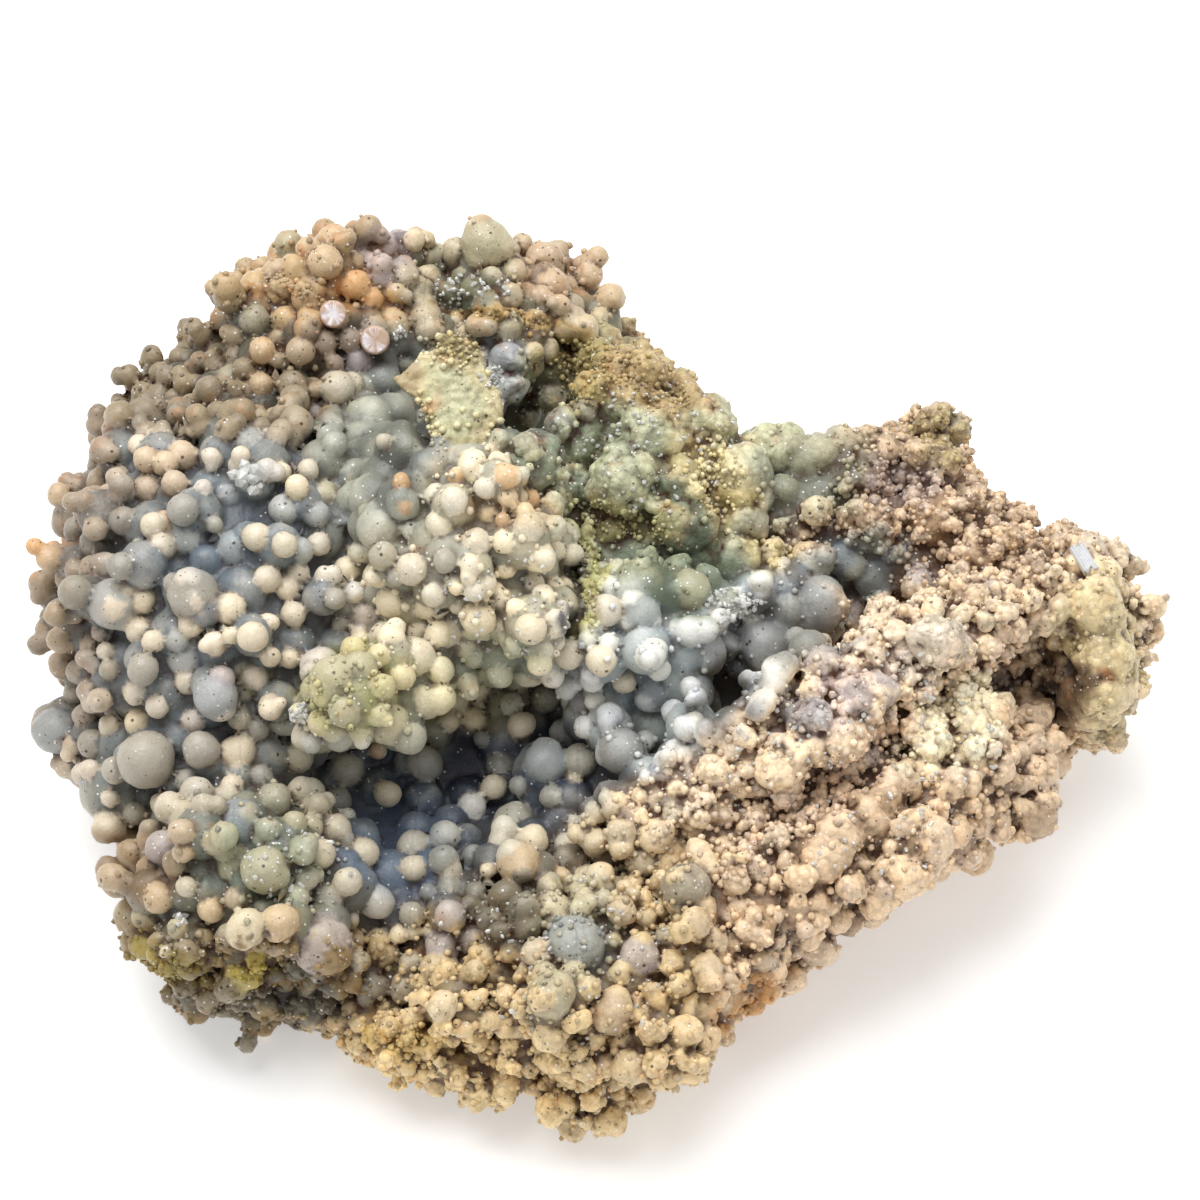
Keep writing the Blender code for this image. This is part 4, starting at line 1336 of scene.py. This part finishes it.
def chalcedony():
    """Frosted chalcedony: grey and blue where it lies deep, cream and tan where it stands out, the deep
    tones darker partly as painted shade, and low places and creases darkened further by painted shade.
    """
    finish = Finish("chalcedony")
    finish.shader.subsurface_method = "BURLEY"
    tint = finish.amount("tint")
    height = finish.amount("height")
    rough = finish.amount("rough")
    dirt = finish.amount("dirt")
    blotches = finish.noise(BLOTCH_SIZE, 3)
    patches = finish.noise(PATCH_SIZE, 3)
    # Deep places take the darker deep tone and standing ones the tip tone: partly the stone's own colours,
    # partly painted shade
    standing = finish.amount("rise") * 0.6 + height * 0.4 + blotches * 0.6 - 0.28
    tone = finish.mix(finish.tone("deep"), finish.tone("tip"), finish.step(standing, 0.15, 0.9))
    sugar = finish.noise(SUGAR_SIZE, 3)
    grains, shade = finish.cells(SANDY_CELLS)
    light = 0.65 + sugar * 0.44 + (shade - 0.5) * rough * 0.3
    # Places that lie low in the relief are darkened by up to 30%: painted shade
    light = light * (0.7 + finish.step(height, 0.0, 0.45) * 0.3)
    warmth = {0: light + tint * 0.26, 1: light + tint * 0.2, 2: light + tint * 0.07 + 0.04}
    tone = finish.times(tone, finish.add("ShaderNodeCombineXYZ", {}, warmth))
    rust = finish.amount("rust")
    rusty = finish.step(blotches + rust * 0.25, 0.64, 0.78)
    tone = finish.mix(tone, solid(RUST), rusty * rust * 0.8)
    joints = finish.step(grains, 0.4, 0.66) * rough * 0.55
    # Creases are browned as dirt and as painted crease shade, and the joints between sandy grains as dirt
    dirt_and_crease_shade = (finish.amount("crease") + joints) * dirt
    tone = finish.mix(tone, solid(BROWN), dirt_and_crease_shade * (0.35 + finish.step(patches, 0.4, 0.6) * 0.6))
    crowding = (patches - 0.5) * 2.2
    for size, width in SPECK_CELLS:
        away, pick = finish.cells(size)
        near = 1 - finish.step(away, width * 0.6, width)
        chosen = finish.step(pick + finish.amount("specks") * 0.6 + crowding, 1.08, 1.12)
        tone = finish.mix(tone, solid(SPECK_BROWN), near * chosen * 0.85)
    sparkle = finish.amount("sparkle")
    facets, glint = finish.cells(GLINT_CELLS)
    glint = finish.step(glint + sparkle * 0.12, 0.97, 0.99) * (1 - finish.step(facets, 0.25, 0.4))
    # White glint spots are mixed into the colour: painted highlights; the lower roughness there is real
    # gloss
    tone = finish.mix(tone, solid(GLINT), glint * 0.75)
    finish.bump(sugar * (0.6 + rough * 0.3) - grains * rough * 2.0, BUMP_DEPTH)
    finish.set(
        Base_Color=tone,
        Roughness=0.38 - glint * 0.25 + rough * 0.1,
        Subsurface_Weight=0.3,
        Subsurface_Radius=(1.0, 0.9, 0.8),
        Subsurface_Scale=1.0 * MM,
        Sheen_Weight=0.12,
        Sheen_Roughness=0.35,
        Sheen_Tint=(1.0, 0.94, 0.84, 1.0),
    )
    return finish.material


def quartz():
    """Clear, bright crystal."""
    finish = Finish("quartz")
    finish.set(Base_Color=(0.94, 0.94, 0.9, 1), Roughness=0.15, Transmission_Weight=0.45, IOR=1.54)
    return finish.material


def white_spar():
    """White, silky mineral."""
    finish = Finish("white_spar")
    tone = finish.mix(solid(SPAR_GREY), solid(SPAR_WHITE), finish.noise(0.8 * MM))
    finish.set(Base_Color=tone, Roughness=0.3)
    return finish.material


def paper():
    finish = Finish("paper")
    finish.set(
        Base_Color=(0.9, 0.9, 0.9, 1),
        Roughness=0.9,
        # The paper glows evenly, painted light that fades the shadows on it
        Emission_Color=(1, 1, 1, 1),
        Emission_Strength=FLOOR_GLOW,
    )
    return finish.material


def set_camera():
    data = bpy.data.cameras.new("camera")
    data.lens = LENS
    data.sensor_width = SENSOR
    data.shift_y = (TARGET_PIXEL[1] - PHOTO_SIZE / 2) / PHOTO_SIZE
    data.clip_start = 0.01
    camera = bpy.data.objects.new("camera", data)
    camera.location = EYE
    camera.rotation_euler = (math.pi / 2 - ELEVATION, 0, 0)
    bpy.context.scene.collection.objects.link(camera)
    bpy.context.scene.camera = camera


def set_lights():
    world = bpy.data.worlds.new("studio")
    bpy.context.scene.world = world
    world.use_nodes = True
    back = world.node_tree.nodes["Background"]
    back.inputs["Color"].default_value = (1, 1, 1, 1)
    back.inputs["Strength"].default_value = WORLD_STRENGTH
    data = bpy.data.lights.new("soft_box", "AREA")
    data.energy = SOFT_BOX_POWER
    data.size = SOFT_BOX_WIDTH
    light = bpy.data.objects.new("soft_box", data)
    light.location = SOFT_BOX_PLACE
    light.rotation_euler = Vector(SOFT_BOX_PLACE).to_track_quat("Z", "Y").to_euler()
    bpy.context.scene.collection.objects.link(light)
    bpy.context.scene.view_settings.view_transform = "Standard"


def make_floor():
    bpy.ops.mesh.primitive_plane_add(size=FLOOR_WIDTH, location=(0, 0, -FLOOR_DROP))
    floor = bpy.context.object
    floor.name = "floor"
    floor.data.materials.append(paper())


deselect()
chance = random.Random(SEED)
rock = make_rock(chance)
face = Face(rock)
large, toned = place_large_grapes(face, chance)
grapes = large + scatter_grapes(rock, large, chance)
finish = chalcedony()
pieces = []

balls = make_ball("ball", 3), make_ball("round_ball", 4)
dents = clouds("dents")
grain_shape = make_ball("grain_shape", 1)
roughness = clouds("roughness")
crowd = Crowd(3 * MM)
starts = [None if start is None else start * MM for start in SLABS.values()]
skins = []
for name, low, high in zip(SLABS, starts, [*starts[1:], None]):
    slab = make_slab(rock, grapes, name, low, high, balls, dents)
    grains = scatter_grains(slab, crowd, low, high, grain_shape, roughness, chance)
    paint(slab, toned, STAINS_AND_SHADES)
    paint(grains, toned, STAINS_AND_SHADES)
    skins.append(slab)
    pieces += [slab, grains]

flake = make_flake(clouds("bend"), clouds("crumble"))
crumbs = scatter_grains(flake, crowd, None, None, grain_shape, roughness, chance)
crumbs.name = "flake_crumbs"
for piece in (flake, crumbs):
    paint(piece, toned, STAINS_AND_SHADES | FLAKE_STAINS)
    pieces.append(piece)
skin = Face(*skins, flake)
for name, (x, y, size) in CUT_GRAPES.items():
    broken, cut, sight = make_broken_grape(name, skin, x, y, size)
    paint(broken, toned, STAINS_AND_SHADES)
    paint_inside(broken, cut, sight, chance)
    pieces.append(broken)
for piece in pieces:
    select_only(piece)
    bpy.ops.object.shade_smooth()
    piece.data.materials.clear()
    piece.data.materials.append(finish)
crystals = grow_crystals(skin, chance)
crystals.data.materials.clear()
crystals.data.materials.append(quartz())
chip = make_chip(skin, chance)
chip.data.materials.append(white_spar())
pieces += [crystals, chip]
for helper in (rock, grain_shape, *balls):
    bpy.data.objects.remove(helper)

for piece in pieces:
    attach(piece, "root")
    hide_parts("grape_agate")
make_floor()
set_camera()
set_lights()
